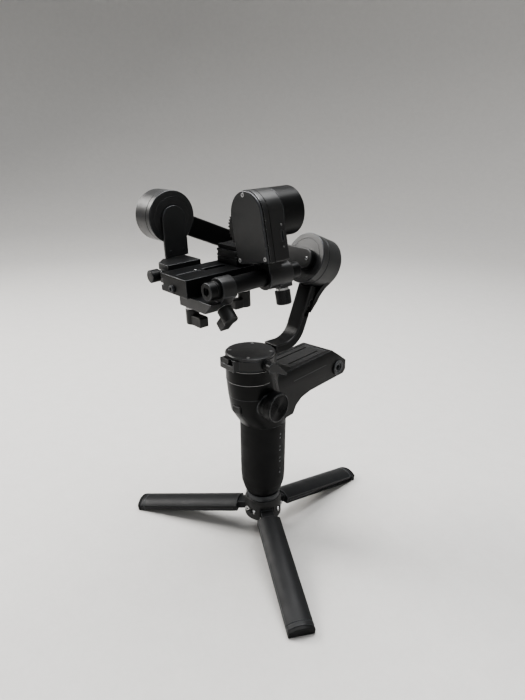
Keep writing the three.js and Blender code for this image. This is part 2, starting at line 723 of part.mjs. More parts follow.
// Block beside the base plate, with a rail in the plate's groove and a cut corner beside the knob.
function clampBlock() {
  const { left, corner, front, back, bottom, top, knob } = CLAMP;
  const right = PLATE.left - 0.5;
  const plan = outline([
    [left, front + corner],
    [left + corner, front],
    [right, front],
    [right, back],
    [left, back],
  ]);
  const rail = box(right - 3, PLATE.left + 2.7, front, back, GROOVE.low + 0.5, GROOVE.high - 0.5);
  const hole = rodY(2.4, front - 4, front + 15, knob.x, knob.z, 16);
  return cut(join(prismZ(plan, bottom, top), rail), hole);
}

function clampKnob() {
  const { grip, collar, shaft } = CLAMP_KNOB;
  return join(
    rodY(grip.radius, grip.from, collar.from + 0.5, 0, 0, 28),
    rodY(collar.radius, collar.from, shaft.from + 0.5, 0, 0, 24),
    rodY(shaft.radius, shaft.from, shaft.to, 0, 0, 16),
  );
}

function buildTilt(roll) {
  const turn = ROLL_RISE - 90 + TILT_ANGLE;
  const tilt = addPivot(roll, 'tilt_pivot', [0, 0, TILT_AHEAD], [turn, 0, 0]);
  const rotor = motorRotor(TILT_MOTOR).rotate([0, 90, 0]).translate([TILT_FACE_X, 0, 0]);
  addPart(tilt, 'tilt_rotor', rotor, blackMetal);
  addPart(tilt, 'tilt_arm', tiltArm(), blackMetal);
  addPart(tilt, 'clamp_block', clampBlock(), blackMetal);
  const knob = addPivot(tilt, 'clamp_knob_pivot', [CLAMP.knob.x, CLAMP.front, CLAMP.knob.z]);
  addPart(knob, 'clamp_knob', clampKnob(), blackMetal);
  return tilt;
}

// ---- Camera plate ---------------------------------------------------------------------------
// A screw hanging along -Z from its seat at z = 0. Its paddle stands out to one side of its hub, by the
// signed reach, so its shape is an L.
function wingScrew({ shaft, neck, hub, reach, height, along }) {
  const low = -neck - height;
  const [from, to] = [Math.min(0, reach), Math.max(0, reach)];
  const paddle = along === 'x'
    ? box(from, to, -PADDLE.half, PADDLE.half, low, low + PADDLE.height)
    : box(-PADDLE.half, PADDLE.half, from, to, low, low + PADDLE.height);
  return join(
    rodZ(WING_SHAFT, -neck - 1, shaft, 0, 0, 16),
    rodZ(WING_COLLAR, -neck, -GAP, 0, 0, 24),
    rodZ(hub, low, -neck + 0.01, 0, 0, 32),
    paddle,
  );
}

function basePlate() {
  const { left, right, front, back, bottom, top } = PLATE;
  return cut(
    box(left, right, front, back, bottom, top),
    box(left - 1, left + 3.1, front - 1, back + 1, GROOVE.low, GROOVE.high),
    box(SCREW_X - 3, SCREW_X + 3, -2, 22, top - 2.5, top + 1),
    rodZ(SCREW_HOLE, bottom - 1, top + 1, SCREW_X, SCREW_Y, 20),
    rodZ(SCREW_HOLE, bottom - 1, bottom + 8, UNDER_SCREW.x, UNDER_SCREW.y, 20),
    rodY(BOLT.radius + GAP, front - 1, front + 8, BOLT.x, BOLT.z, 16),
  );
}

function buildPlate(tilt) {
  const plate = addPivot(tilt, 'plate_slide', [0, 0, 0]);
  const { left, right, front, back } = STACK;
  const top = PLATE.top + GAP;
  addPart(plate, 'base_plate', basePlate(), blackMetal);
  const bolt = join(
    rodY(BOLT.head, PLATE.front - 2.2, PLATE.front - GAP, BOLT.x, BOLT.z, 20),
    rodY(BOLT.radius, PLATE.front - 1, PLATE.front + 7, BOLT.x, BOLT.z, 16),
  );
  addPart(plate, 'plate_bolt', bolt, greyMetal);
  const hole = rodZ(SCREW_HOLE, -60, 0, SCREW_X, SCREW_Y, 20);
  const riserTop = top + STACK.riser;
  addPart(plate, 'riser', cut(box(left, right, front, back, top, riserTop), hole), blackMetal);
  const low = riserTop + GAP;
  const quickTop = low + STACK.quick;
  const quick = cut(
    box(left, right, front, back, low, quickTop),
    box(left - 1, left + 1.2, front - 1, back + 1, low + 2.6, low + 4.8),
    box(right - 1.2, right + 1, front - 1, back + 1, low + 2.6, low + 4.8),
    rodZ(6.8, low - 1, low + 3.6, SCREW_X, SCREW_Y, 28),
    rodZ(3.5, low - 1, quickTop + 1, SCREW_X, SCREW_Y, 20),
  );
  addPart(plate, 'quick_plate', quick, blackMetal);
  const padTop = quickTop + GAP + STACK.pad;
  const pad = cut(
    box(left + 1, right - 1, front + 1, back - 1, quickTop + GAP, padTop),
    rodZ(3.5, -60, 0, SCREW_X, SCREW_Y, 20),
  );
  addPart(plate, 'plate_pad', pad, rubber);
  const screw = join(
    rodZ(6.4, low + GAP, low + 3.2, SCREW_X, SCREW_Y, 28),
    rodZ(3.1, low + 1, padTop + 5, SCREW_X, SCREW_Y, 20),
  );
  addPart(plate, 'camera_screw', screw, steel);
  const knob = addPivot(plate, 'plate_knob_pivot', [SCREW_X, SCREW_Y, PLATE.bottom]);
  const size = { shaft: 18, neck: 13, hub: 6, reach: -14.5, height: 15.5, along: 'y' };
  addPart(knob, 'plate_knob', wingScrew(size), blackPlastic);
  return plate;
}

// ---- Rod and its bracket --------------------------------------------------------------------
function rodBracket() {
  const { left, front, ring, back, bottom, top, wall } = BRACKET;
  const outside = ROD.radius + GAP + wall;
  const corner = FACET.x - (FACET.z - bottom); // the facet rises at 45 degrees from here
  const foot = outline([
    [left, bottom],
    [corner, bottom],
    [corner + top - bottom, top],
    [left, top],
  ]);
  const web = outline([
    [corner - 6, bottom],
    [corner, bottom],
    [ROD.x + outside, bottom + ROD.x + outside - corner],
    [ROD.x + outside, ROD.z],
    [ROD.x - outside, ROD.z],
    [ROD.x - outside, top],
    [corner - 6, top],
  ]);
  const shaftHole = rodZ(3, -4, 4.4, 0, 0, 20).rotate([0, FACET.slope, 0]);
  return cut(
    join(prismY(foot, front, back), prismY(web, ring, back), rodY(outside, ring, back, ROD.x, ROD.z, 28)),
    rodY(ROD.radius + GAP, front - 1, back + 1, ROD.x, ROD.z, 28),
    rodZ(SCREW_HOLE, bottom - 1, top + 1, UNDER_SCREW.x, UNDER_SCREW.y, 20),
    shaftHole.translate([FACET.x, FACET.y, FACET.z]),
  );
}

function buildRod(plate) {
  const { x, z, radius, front, back, thread } = ROD;
  const rod = cut(
    rodY(radius, front, back, x, z, 28),
    rodY(thread, front - 1, front + ROD.bore, x, z, 24),
    rodY(thread, back - ROD.bore, back + 1, x, z, 24),
  );
  addPart(plate, 'rod', rod, blackMetal);
  addPart(plate, 'rod_bracket', rodBracket(), blackMetal);
  const seat = [UNDER_SCREW.x, UNDER_SCREW.y, BRACKET.bottom];
  const under = addPivot(plate, 'bracket_screw_pivot', seat);
  const low = { shaft: 16, neck: 2.5, hub: 6, reach: 17.5, height: 14, along: 'x' };
  addPart(under, 'bracket_screw', wingScrew(low), blackPlastic);
  const side = addPivot(plate, 'rod_screw_pivot', [FACET.x, FACET.y, FACET.z], [0, FACET.slope, 0]);
  const tilted = { shaft: 3.8, neck: 1.2, hub: 6.6, reach: -15, height: 13.5, along: 'x' };
  addPart(side, 'rod_screw', wingScrew(tilted), blackPlastic);
}

// ---- Lens servo, in axes that lean about the rod ----------------------------------------------
function servoOutline(inset) {
  const radius = SERVO.radius - inset;
  const foot = SERVO.radius - 0.2 - inset;
  const shape = new THREE.Shape();
  shape.moveTo(-foot, SERVO.foot + inset);
  shape.lineTo(foot, SERVO.foot + inset);
  shape.absarc(0, SERVO.centre, radius, 0, Math.PI, false);
  shape.closePath();
  return shape;
}

function servoBody() {
  const portSides = [PORT.y - PORT.width / 2, PORT.y + PORT.width / 2];
  return cut(
    prismY(servoOutline(0), SERVO.front, SERVO.back, 18),
    rodY(GEAR.outer + 0.7, SERVO.front - 1, GEAR.back + 0.8, GEAR.x, GEAR.z, 32),
    rodY(2.9, SERVO.front, GEAR.back + 6, GEAR.x, GEAR.z, 16),
    box(SERVO.radius - PORT.depth, SERVO.radius + 1, ...portSides, PORT.low, PORT.high),
  );
}

function servoGear() {
  const { teeth, outer, root } = GEAR;
  const pitch = (2 * Math.PI) / teeth;
  const points = [];
  for (let i = 0; i < teeth; i += 1) {
    for (const [step, radius] of [[-0.28, root], [-0.14, outer], [0.14, outer], [0.28, root]]) {
      const angle = pitch * (i + step);
      points.push([radius * Math.cos(angle), radius * Math.sin(angle)]);
    }
  }
  const disc = prismY(outline(points), GEAR.front, GEAR.back);
  return join(disc, rodY(2.5, GEAR.back - 1, GEAR.back + 5, 0, 0, 16));
}

function servoClamp() {
  const { radius, front, back, low, knobY } = SERVO_CLAMP;
  return cut(
    join(
      rodY(radius, front, back, 0, 0, 28),
      box(-10, 10, front, SERVO.back - GAP, 0, SERVO.foot - GAP),
      box(-7, 7, knobY - 7, back, low, 0),
    ),
    rodY(ROD.radius + GAP, front - 1, back + 1, 0, 0, 28),
    rodZ(2.9, low - 3, -5, 0, knobY, 20),
  );
}

function servoKnob() {
  return turned([
    [0, -28],
    [6.4, -28],
    [7, -27.2],
    [7, -15.2],
    [6.4, -14.6],
    [5.4, -14.6],
    [5.4, -12.6],
    [2.6, -12.6],
    [2.6, -8.2],
    [0, -8.2],
  ], 28);
}

function buildServo(plate) {
  const servo = addPivot(plate, 'servo_lean', [ROD.x, 0, ROD.z], [0, -SERVO_LEAN, 0]);
  addPart(servo, 'servo_body', servoBody(), blackPlastic);
  addPart(servo, 'servo_cover', prismY(servoOutline(0.6), SERVO.cover, SERVO.front - GAP, 18), blackMetal);
  const can = rodY(SERVO.radius - 0.2, SERVO.back + GAP, SERVO.can, 0, SERVO.centre, 36);
  addPart(servo, 'motor_can', can, blackMetal);
  const gear = addPivot(servo, 'gear_pivot', [GEAR.x, 0, GEAR.z]);
  addPart(gear, 'servo_gear', servoGear(), blackPlastic);
  addPart(servo, 'servo_clamp', servoClamp(), blackMetal);
  const knob = addPivot(servo, 'servo_knob_pivot', [0, SERVO_CLAMP.knobY, 0]);
  addPart(knob, 'servo_knob', servoKnob(), blackMetal);
}

// ---- Whole object -------------------------------------------------------------------------
const stabilizer = new THREE.Group();
const body = addPivot(stabilizer, 'body', [0, 0, 0]);
buildStand(body);
buildGrip(body);
buildHead(body);
const rollMount = buildPan(body);
const rollStage = buildRoll(rollMount);
const tiltStage = buildTilt(rollStage);
const cameraPlate = buildPlate(tiltStage);
buildRod(cameraPlate);
buildServo(cameraPlate);

// The origin is the centre of the whole object's base.
const bounds = new THREE.Box3().setFromObject(stabilizer, true);
const middle = bounds.getCenter(new THREE.Vector3());
body.position.set(-middle.x, -middle.y, -bounds.min.z);

export default stabilizer;
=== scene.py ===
"""Looks of a compact three-axis camera stabilizer on a folding mini tripod.

Lengths are millimetres in local axes, and metres in the row frame and the studio.
"""
import json
from math import atan2, ceil, cos, pi, radians, sin, tan

import bmesh
import bpy
from mathutils import Matrix, Vector


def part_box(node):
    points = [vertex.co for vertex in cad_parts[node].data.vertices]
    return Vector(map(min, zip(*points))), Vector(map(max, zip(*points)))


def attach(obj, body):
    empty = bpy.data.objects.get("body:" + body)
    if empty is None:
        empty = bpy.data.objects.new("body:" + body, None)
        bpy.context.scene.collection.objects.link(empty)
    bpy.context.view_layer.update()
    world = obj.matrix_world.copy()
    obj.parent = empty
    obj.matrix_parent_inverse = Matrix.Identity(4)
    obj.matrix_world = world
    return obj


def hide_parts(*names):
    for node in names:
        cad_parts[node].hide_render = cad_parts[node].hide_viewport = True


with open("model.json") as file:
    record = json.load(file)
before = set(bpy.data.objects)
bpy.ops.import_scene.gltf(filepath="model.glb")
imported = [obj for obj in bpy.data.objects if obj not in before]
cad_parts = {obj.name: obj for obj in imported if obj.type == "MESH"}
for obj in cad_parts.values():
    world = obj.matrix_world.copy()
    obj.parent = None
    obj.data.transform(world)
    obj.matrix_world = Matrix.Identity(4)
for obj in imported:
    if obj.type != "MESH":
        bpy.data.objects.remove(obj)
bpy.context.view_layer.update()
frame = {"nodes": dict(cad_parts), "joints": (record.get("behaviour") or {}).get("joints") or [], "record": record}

MM = 0.001
RECORD = frame["record"]
NODE_BODY = {n: b for b, ns in RECORD["behaviour"]["bodies"].items() for n in ns}
NODE_SLOT = {s["node"]: s["material_slot"] for s in RECORD["subparts"]}
JOINT = {j["name"]: j for j in frame["joints"]}


# ---- Local axes: millimetres in a body's own directions, to metres in the row frame ----------
def axes(origin, x, y):
    x, z = Vector(x).normalized(), Vector(x).cross(Vector(y)).normalized()
    turn = Matrix((x, z.cross(x), z)).transposed().to_4x4()
    return Matrix.Translation(origin) @ turn @ Matrix.Scale(MM, 4)


def joint_axis(name):
    return Vector(JOINT[name]["axis"])


def joint_place(name):
    return Vector(JOINT[name]["pos_m"])


hub_low, hub_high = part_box("tripod_hub")
HUB = Vector(((hub_low.x + hub_high.x) / 2, (hub_low.y + hub_high.y) / 2, 0))
UP = Vector((0, 0, 1))
BODY = axes(HUB, (1, 0, 0), (0, 1, 0))
PAN_X = joint_axis("lever_turn")
PAN = axes(joint_place("pan_turn"), PAN_X, UP.cross(PAN_X))
ROLL_Z = joint_axis("roll_turn")
ROLL = axes(joint_place("roll_turn"), PAN_X, ROLL_Z.cross(PAN_X))
TILT_X, TILT_Y = joint_axis("tilt_turn"), joint_axis("plate_slide")
TILT = axes(joint_place("tilt_turn"), TILT_X, TILT_Y)
SERVO_Y, SERVO_Z = joint_axis("gear_turn"), joint_axis("servo_knob_turn")
SERVO_KNOB_Y = 50
SERVO = axes(joint_place("servo_knob_turn") - SERVO_KNOB_Y * MM * SERVO_Y, SERVO_Y.cross(SERVO_Z), SERVO_Y)
TO_X = Matrix.Rotation(pi / 2, 4, "Y")  # a turned piece's axis along X
TO_Y = Matrix.Rotation(-pi / 2, 4, "X")


def at(x, y, z):
    return Matrix.Translation((x, y, z))


# ---- Materials ------------------------------------------------------------------------------
def noise(tree, coordinates, scale, detail, roughness=0.5):
    node = tree.nodes.new("ShaderNodeTexNoise")
    node.inputs["Scale"].default_value = scale
    node.inputs["Detail"].default_value = detail
    node.inputs["Roughness"].default_value = roughness
    tree.links.new(coordinates, node.inputs["Vector"])
    return node.outputs["Fac"]


def span(tree, value, low, high, start=0.3, end=0.7):
    node = tree.nodes.new("ShaderNodeMapRange")
    node.inputs["From Min"].default_value = start
    node.inputs["From Max"].default_value = end
    node.inputs["To Min"].default_value = low
    node.inputs["To Max"].default_value = high
    tree.links.new(value, node.inputs["Value"])
    return node.outputs["Result"]


def bump(tree, height, distance, strength, below=None):
    node = tree.nodes.new("ShaderNodeBump")
    node.inputs["Strength"].default_value = strength
    node.inputs["Distance"].default_value = distance
    tree.links.new(height, node.inputs["Height"])
    if below is not None:
        tree.links.new(below, node.inputs["Normal"])
    return node.outputs["Normal"]


def surface(name, dark, light, rough, grain, metallic=0.0, specular=0.5, relief=0.4, stretch=(1, 1, 1)):
    """A finish with blotchy colour, smudged roughness and a fine grain.

    rough is (low, high), and grain is the noise scale per metre.
    """
    made = bpy.data.materials.new(name)
    made.use_nodes = True
    tree = made.node_tree
    shader = tree.nodes["Principled BSDF"]
    shader.inputs["Metallic"].default_value = metallic
    shader.inputs["Specular IOR Level"].default_value = specular
    place = tree.nodes.new("ShaderNodeTexCoord").outputs["Object"]
    mapping = tree.nodes.new("ShaderNodeMapping")
    mapping.inputs["Scale"].default_value = stretch
    tree.links.new(place, mapping.inputs["Vector"])
    place = mapping.outputs["Vector"]
    blotch = noise(tree, place, 42, 5, 0.6)
    speckle = noise(tree, place, grain * 0.5, 2)
    ramp = tree.nodes.new("ShaderNodeValToRGB")
    ramp.color_ramp.elements[0].position = 0.3
    ramp.color_ramp.elements[0].color = (*dark, 1)
    ramp.color_ramp.elements[1].position = 0.72
    ramp.color_ramp.elements[1].color = (*light, 1)
    blend = tree.nodes.new("ShaderNodeMix")
    blend.inputs["Factor"].default_value = 0.4
    tree.links.new(blotch, blend.inputs["A"])
    tree.links.new(speckle, blend.inputs["B"])
    tree.links.new(blend.outputs["Result"], ramp.inputs["Fac"])
    tree.links.new(ramp.outputs["Color"], shader.inputs["Base Color"])
    smudge = noise(tree, place, 95, 4, 0.65)
    tree.links.new(span(tree, smudge, rough[0], rough[1]), shader.inputs["Roughness"])
    fine = bump(tree, noise(tree, place, grain, 3, 0.6), 0.00006, relief)
    tree.links.new(fine, shader.inputs["Normal"])
    return made


def grey(value, tint=(1, 1, 1)):
    return tuple(value * t for t in tint)


COOL = (0.96, 1.0, 1.06)
WARM = (1.02, 1.0, 0.97)
ANODISED = surface("anodised", grey(0.0045, COOL), grey(0.0085, COOL), (0.33, 0.43), 3200, specular=0.45)
DEEP_BLACK = surface("deep_black", grey(0.0035, COOL), grey(0.0065, COOL), (0.3, 0.4), 3200, specular=0.16)
SATIN = surface("satin_motor", grey(0.009, COOL), grey(0.015, COOL), (0.36, 0.46), 3200, specular=0.6)
# Lighter, shinier finish for the narrow bevel and fillet faces: light edge wear and a painted highlight along
# every edge.
ANODISED_EDGE_WEAR_AND_HIGHLIGHT = surface("anodised_edge_wear_and_highlight", grey(0.03, COOL), grey(0.055, COOL), (0.2, 0.3), 2600, metallic=0.5)
PLASTIC = surface("moulded_plastic", grey(0.0055), grey(0.0095), (0.44, 0.56), 2400, specular=0.42, relief=0.6)
# Lighter edge finish for plastic: light edge wear and a painted highlight along the edges.
PLASTIC_EDGE_WEAR_AND_HIGHLIGHT = surface("moulded_plastic_edge_wear_and_highlight", grey(0.012), grey(0.018), (0.4, 0.5), 2400)
LEG_PLASTIC = surface("leg_plastic", grey(0.009, COOL), grey(0.014, COOL), (0.42, 0.54), 2200, specular=0.24,
                      relief=0.6)
# Lighter edge finish for the legs: light edge wear and a painted highlight along the edges.
LEG_EDGE_WEAR_AND_HIGHLIGHT = surface("leg_plastic_edge_wear_and_highlight", grey(0.026, COOL), grey(0.036, COOL), (0.36, 0.46), 2200,
                   specular=0.4)
RUBBER = surface("soft_rubber", grey(0.0035, COOL), grey(0.0065, COOL), (0.5, 0.64), 1500, specular=0.2,
                 relief=0.8)
GREY = surface("grey_metal", grey(0.04, COOL), grey(0.06, COOL), (0.38, 0.5), 2600, metallic=0.35)
STEEL = surface("machined_steel", grey(0.34), grey(0.5), (0.18, 0.3), 2400, metallic=1.0)
DARK_STEEL = surface("dark_steel", grey(0.11), grey(0.17), (0.2, 0.32), 2400, metallic=1.0)
# Light metal for thin lines that are painted highlights along edges.
HIGHLIGHT_PAINT = surface("painted_highlight", grey(0.3), grey(0.42), (0.16, 0.24), 2400, metallic=0.9)
ZINC = surface("zinc_screw", grey(0.3), grey(0.42), (0.3, 0.42), 2400, metallic=0.35)
COPPER = surface("enamelled_copper", (0.42, 0.17, 0.07), (0.62, 0.3, 0.13), (0.25, 0.4), 1800, metallic=0.9)
BOARD = surface("solder_mask", (0.008, 0.06, 0.02), (0.02, 0.11, 0.04), (0.3, 0.45), 900)
WRAP = surface("cell_wrap", (0.01, 0.05, 0.18), (0.02, 0.08, 0.26), (0.28, 0.4), 600)
CLEAR = surface("milky_plastic", grey(0.1, COOL), grey(0.15, COOL), (0.25, 0.35), 1500)
PRINT = surface("pad_printing", grey(0.055, COOL), grey(0.085, COOL), (0.5, 0.6), 2600)
HOLE = surface("dark_recess", grey(0.003), grey(0.005), (0.6, 0.7), 1500)
FINISH = {
    "anodised_black": (ANODISED, ANODISED_EDGE_WEAR_AND_HIGHLIGHT),
    "black_plastic": (PLASTIC, PLASTIC_EDGE_WEAR_AND_HIGHLIGHT),
    "black_rubber": (RUBBER, RUBBER),
    "grey_metal": (GREY, GREY),
    "bright_steel": (STEEL, STEEL),
    "copper_winding": (COPPER, COPPER),
    "circuit_board": (BOARD, BOARD),
    "cell_wrap": (WRAP, WRAP),
    "light_pipe": (CLEAR, CLEAR),
}
# Bevel and fillet faces take the lighter edge finish, which is light edge wear and a painted highlight along the
# edges.
EDGE = 1  # material index of the narrow faces that bevels and fillets make


# ---- Shapes -----------------------------------------------------------------------------------
def rounded(points, closed, step=16):
    """Points (a, b) or (a, b, fillet radius) as [(a, b, arc number or 0)]."""
    out, count = [], len(points)
    for i, point in enumerate(points):
        radius = point[2] if len(point) > 2 else 0
        if not radius or (not closed and i in (0, count - 1)):
            out.append((point[0], point[1], 0))
            continue
        before, corner = Vector(points[i - 1][:2]), Vector(point[:2])
        after = Vector(points[(i + 1) % count][:2])
        back, on = before - corner, after - corner
        half = back.angle(on) / 2
        reach = min(radius / tan(half), 0.48 * back.length, 0.48 * on.length)
        radius = reach * tan(half)
        centre = corner + (back.normalized() + on.normalized()).normalized() * (radius / sin(half))
        first = corner + back.normalized() * reach - centre
        last = corner + on.normalized() * reach - centre
        start = atan2(first.y, first.x)
        sweep = (atan2(last.y, last.x) - start + pi) % (2 * pi) - pi
        steps = max(2, ceil(abs(sweep) / radians(step)))
        for k in range(steps + 1):
            angle = start + sweep * k / steps
            out.append((centre.x + radius * cos(angle), centre.y + radius * sin(angle), i + 1))
    return out


def lathe(profile, turns=72, shape=None):
    """A closed solid of revolution about Z from (radius, height[, fillet]) points."""
    points = rounded(profile, False)
    looped = profile[0][:2] == profile[-1][:2]
    if looped:
        points = points[:-1]
    bm = bmesh.new()
    rings = []
    for radius, height, _ in points:
        if radius < 1e-6:
            rings.append([bm.verts.new((0, 0, height))])
            continue
        ring = []
        for i in range(turns):
            angle = 2 * pi * i / turns
            reach = shape(radius, height, angle) if shape else radius
            ring.append(bm.verts.new((reach * cos(angle), reach * sin(angle), height)))
        rings.append(ring)
    pairs = list(zip(range(len(rings)), range(1, len(rings))))
    if looped:
        pairs.append((len(rings) - 1, 0))
    for a, b in pairs:
        low, high = rings[a], rings[b]
        if len(low) == len(high) == 1:
            continue
        for i in range(turns):
            j = (i + 1) % turns
            loop = [low[i % len(low)], low[j % len(low)], high[j % len(high)], high[i % len(high)]]
            face = bm.faces.new([v for k, v in enumerate(loop) if v not in loop[:k]])
            if points[a][2] and points[a][2] == points[b][2]:
                face.material_index = EDGE
    bmesh.ops.recalc_face_normals(bm, faces=bm.faces)
    return bm


def bevel(bm, edges, width, segments=2, clamp=False):
    bmesh.ops.bevel(bm, geom=list(edges), offset=width, segments=segments, profile=0.6, affect="EDGES",
                    clamp_overlap=clamp, material=EDGE)
    return bm


def prism(points, low, high, edge=0.4, axis="z", segments=2):
    """An outline of (a, b[, fillet]) points pushed from low to high.

    a and b are (y, z), (x, z) or (x, y) across the axis.
    """
    bm = bmesh.new()
    flat = [(a, b) for a, b, _ in rounded(points, True)]
    orders = {"x": lambda a, b, h: (h, a, b), "y": lambda a, b, h: (a, h, b), "z": lambda a, b, h: (a, b, h)}
    place = orders[axis]
    bottom = [bm.verts.new(place(a, b, low)) for a, b in flat]
    top = [bm.verts.new(place(a, b, high)) for a, b in flat]
    bm.faces.new(bottom)
    bm.faces.new(top)
    count = len(flat)
    for i in range(count):
        j = (i + 1) % count
        bm.faces.new((bottom[i], bottom[j], top[j], top[i]))
    bmesh.ops.recalc_face_normals(bm, faces=bm.faces)
    if edge:
        rims = [e for e in bm.edges if (e.verts[0] in bottom) == (e.verts[1] in bottom)]
        bevel(bm, rims, edge, segments)
    return bm


def box(x0, x1, y0, y1, z0, z1, edge=0.4):
    bm = prism([(x0, y0), (x1, y0), (x1, y1), (x0, y1)], z0, z1, 0)
    return bevel(bm, bm.edges, edge) if edge else bm


def rod(radius, low, high, edge=0.0, turns=48):
    return lathe([(0, low), (radius, low, edge), (radius, high, edge), (0, high)], turns)


def moved(bm, *steps):
    for step in steps:
        bm.transform(step)
    return bm


def joined(*parts):
    whole = bmesh.new()
    for part in parts:
        mesh = bpy.data.meshes.new("part")
        part.to_mesh(mesh)
        part.free()
        whole.from_mesh(mesh)
        bpy.data.meshes.remove(mesh)
    return whole


def scratch(bm):
    mesh = bpy.data.meshes.new("scratch")
    bm.to_mesh(mesh)
    bm.free()
    for material in (ANODISED, ANODISED_EDGE_WEAR_AND_HIGHLIGHT):
        mesh.materials.append(material)
    made = bpy.data.objects.new("scratch", mesh)
    bpy.context.scene.collection.objects.link(made)
    return made


def combine(base, tools, operation="DIFFERENCE"):
    """Cuts the tools from the base, or adds them to it."""
    body = scratch(base)
    cutters = [scratch(tool) for tool in tools]
    for cutter in cutters:
        step = body.modifiers.new("step", "BOOLEAN")
        step.object = cutter
        step.operation = operation
        step.solver = "EXACT"
    mesh = bpy.data.meshes.new_from_object(body.evaluated_get(bpy.context.evaluated_depsgraph_get()))
    out = bmesh.new()
    out.from_mesh(mesh)
    for made in (body, *cutters):
        data = made.data
        bpy.data.objects.remove(made)
        bpy.data.meshes.remove(data)
    bpy.data.meshes.remove(mesh)
    return out


def sharp_edges(bm, angle):
    return [e for e in bm.edges if len(e.link_faces) == 2 and e.calc_face_angle(0) > radians(angle)]


def soften(bm, width, angle=34, segments=2):
    """Merges flat neighbours, then rounds the corners that are sharper than the angle."""
    bmesh.ops.remove_doubles(bm, verts=bm.verts, dist=0.004)
    bmesh.ops.dissolve_limit(bm, angle_limit=radians(1.2), verts=bm.verts, edges=bm.edges)
    return bevel(bm, sharp_edges(bm, angle), width, segments)


def from_cad(node, space):
    """A copy of a CAD node's mesh, in local millimetres."""
    bm = bmesh.new()
    bm.from_mesh(frame["nodes"][node].data)
    bm.transform(space.inverted())
    bmesh.ops.remove_doubles(bm, verts=bm.verts, dist=0.002)
    bmesh.ops.recalc_face_normals(bm, faces=bm.faces)
    return bm


def piece(name, bm, space, like, replaced=(), finish=None, slot=None, sharp=40):
    """A shown piece that rides on the body of the CAD node it is like, and wears the finish of that node's slot
    unless a slot or finish is given.
    """
    bm.transform(space)
    bmesh.ops.recalc_face_normals(bm, faces=bm.faces)
    mesh = bpy.data.meshes.new(name)
    bm.to_mesh(mesh)
    bm.free()
    mesh.polygons.foreach_set("use_smooth", [True] * len(mesh.polygons))
    mesh.set_sharp_from_angle(angle=radians(sharp))
    for material in finish or FINISH[slot or NODE_SLOT[like]]:
        mesh.materials.append(material)
    made = bpy.data.objects.new(name, mesh)
    bpy.context.scene.collection.objects.link(made)
    weighted = made.modifiers.new("flat_faces", "WEIGHTED_NORMAL")
    weighted.keep_sharp = True
    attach(made, NODE_BODY[like])
    if replaced:
        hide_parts(*replaced)
    return made


def refine(node, space, width, tools=(), angle=34, segments=2, finish=None):
    """A CAD node's shape with cuts, softened corners and smooth shading."""
    bm = from_cad(node, space)
    if tools:
        bm = combine(bm, tools)
    return piece(f"{node}_body", soften(bm, width, angle, segments), space, node, (node,), finish)


# ---- Details --------------------------------------------------------------------------------
def hexed(drive):
    def shape(radius, height, angle):
        if abs(radius - drive) > 1e-6:
            return radius
        return radius / cos((angle + pi / 6) % (pi / 3) - pi / 6)
    return shape


def screw(radius, height=0.9, drive=0.45, depth=0.8):
    """A socket screw's head standing on z = 0."""
    inner = radius * drive
    return lathe([(0, height - depth), (inner, height - depth), (inner, height - 0.05),
                  (inner + 0.15, height), (radius, height, 0.3), (radius, -0.6), (0, -0.6)], 36, hexed(inner))


def ring(radius, low, high, proud=0.15, deep=0.5, edge=0.1):
    return lathe([(radius - deep, low), (radius + proud, low, edge), (radius + proud, high, edge),
                  (radius - deep, high), (radius - deep, low)], 96)


def toothed(count, root, tip, fill=0.3):
    points = []
    corners = ((-0.5 + fill, tip), (0.5 - fill, tip), (0.5 - fill / 2, root), (0.5 + fill / 2, root))
    for i in range(count):
        for step, radius in corners:
            angle = 2 * pi * (i + step) / count
            points.append((radius * cos(angle), radius * sin(angle)))
    return points


def knurled(radius, low, high, count, depth=0.5, edge=0.35):
    return prism(toothed(count, radius - depth, radius), low, high, edge, segments=1)


def washer(radius, low, high):
    return rod(radius, low, high, 0.2, 48)


# ---- Stand --------------------------------------------------------------------------------------
LEG_SLOPE = radians(12)
LEG_FROM, LEG_END = 13.5, 134
LEG_RADIUS, LEG_HALF, LEG_PIN, LEG_LOW = 19, 12.21, 13, -5


def leg_outline(inset):
    """The leg's section in (y, z), as in the CAD."""
    radius, half = LEG_RADIUS - inset, LEG_HALF - inset
    lift = atan2((radius ** 2 - half ** 2) ** 0.5, half)
    steps = 12
    turns = [lift + (pi - 2 * lift) * k / steps for k in range(steps + 1)]
    arc = [(radius * cos(turn), radius * sin(turn) - LEG_PIN) for turn in turns]
    return [(-half, LEG_LOW), (half, LEG_LOW), *arc]


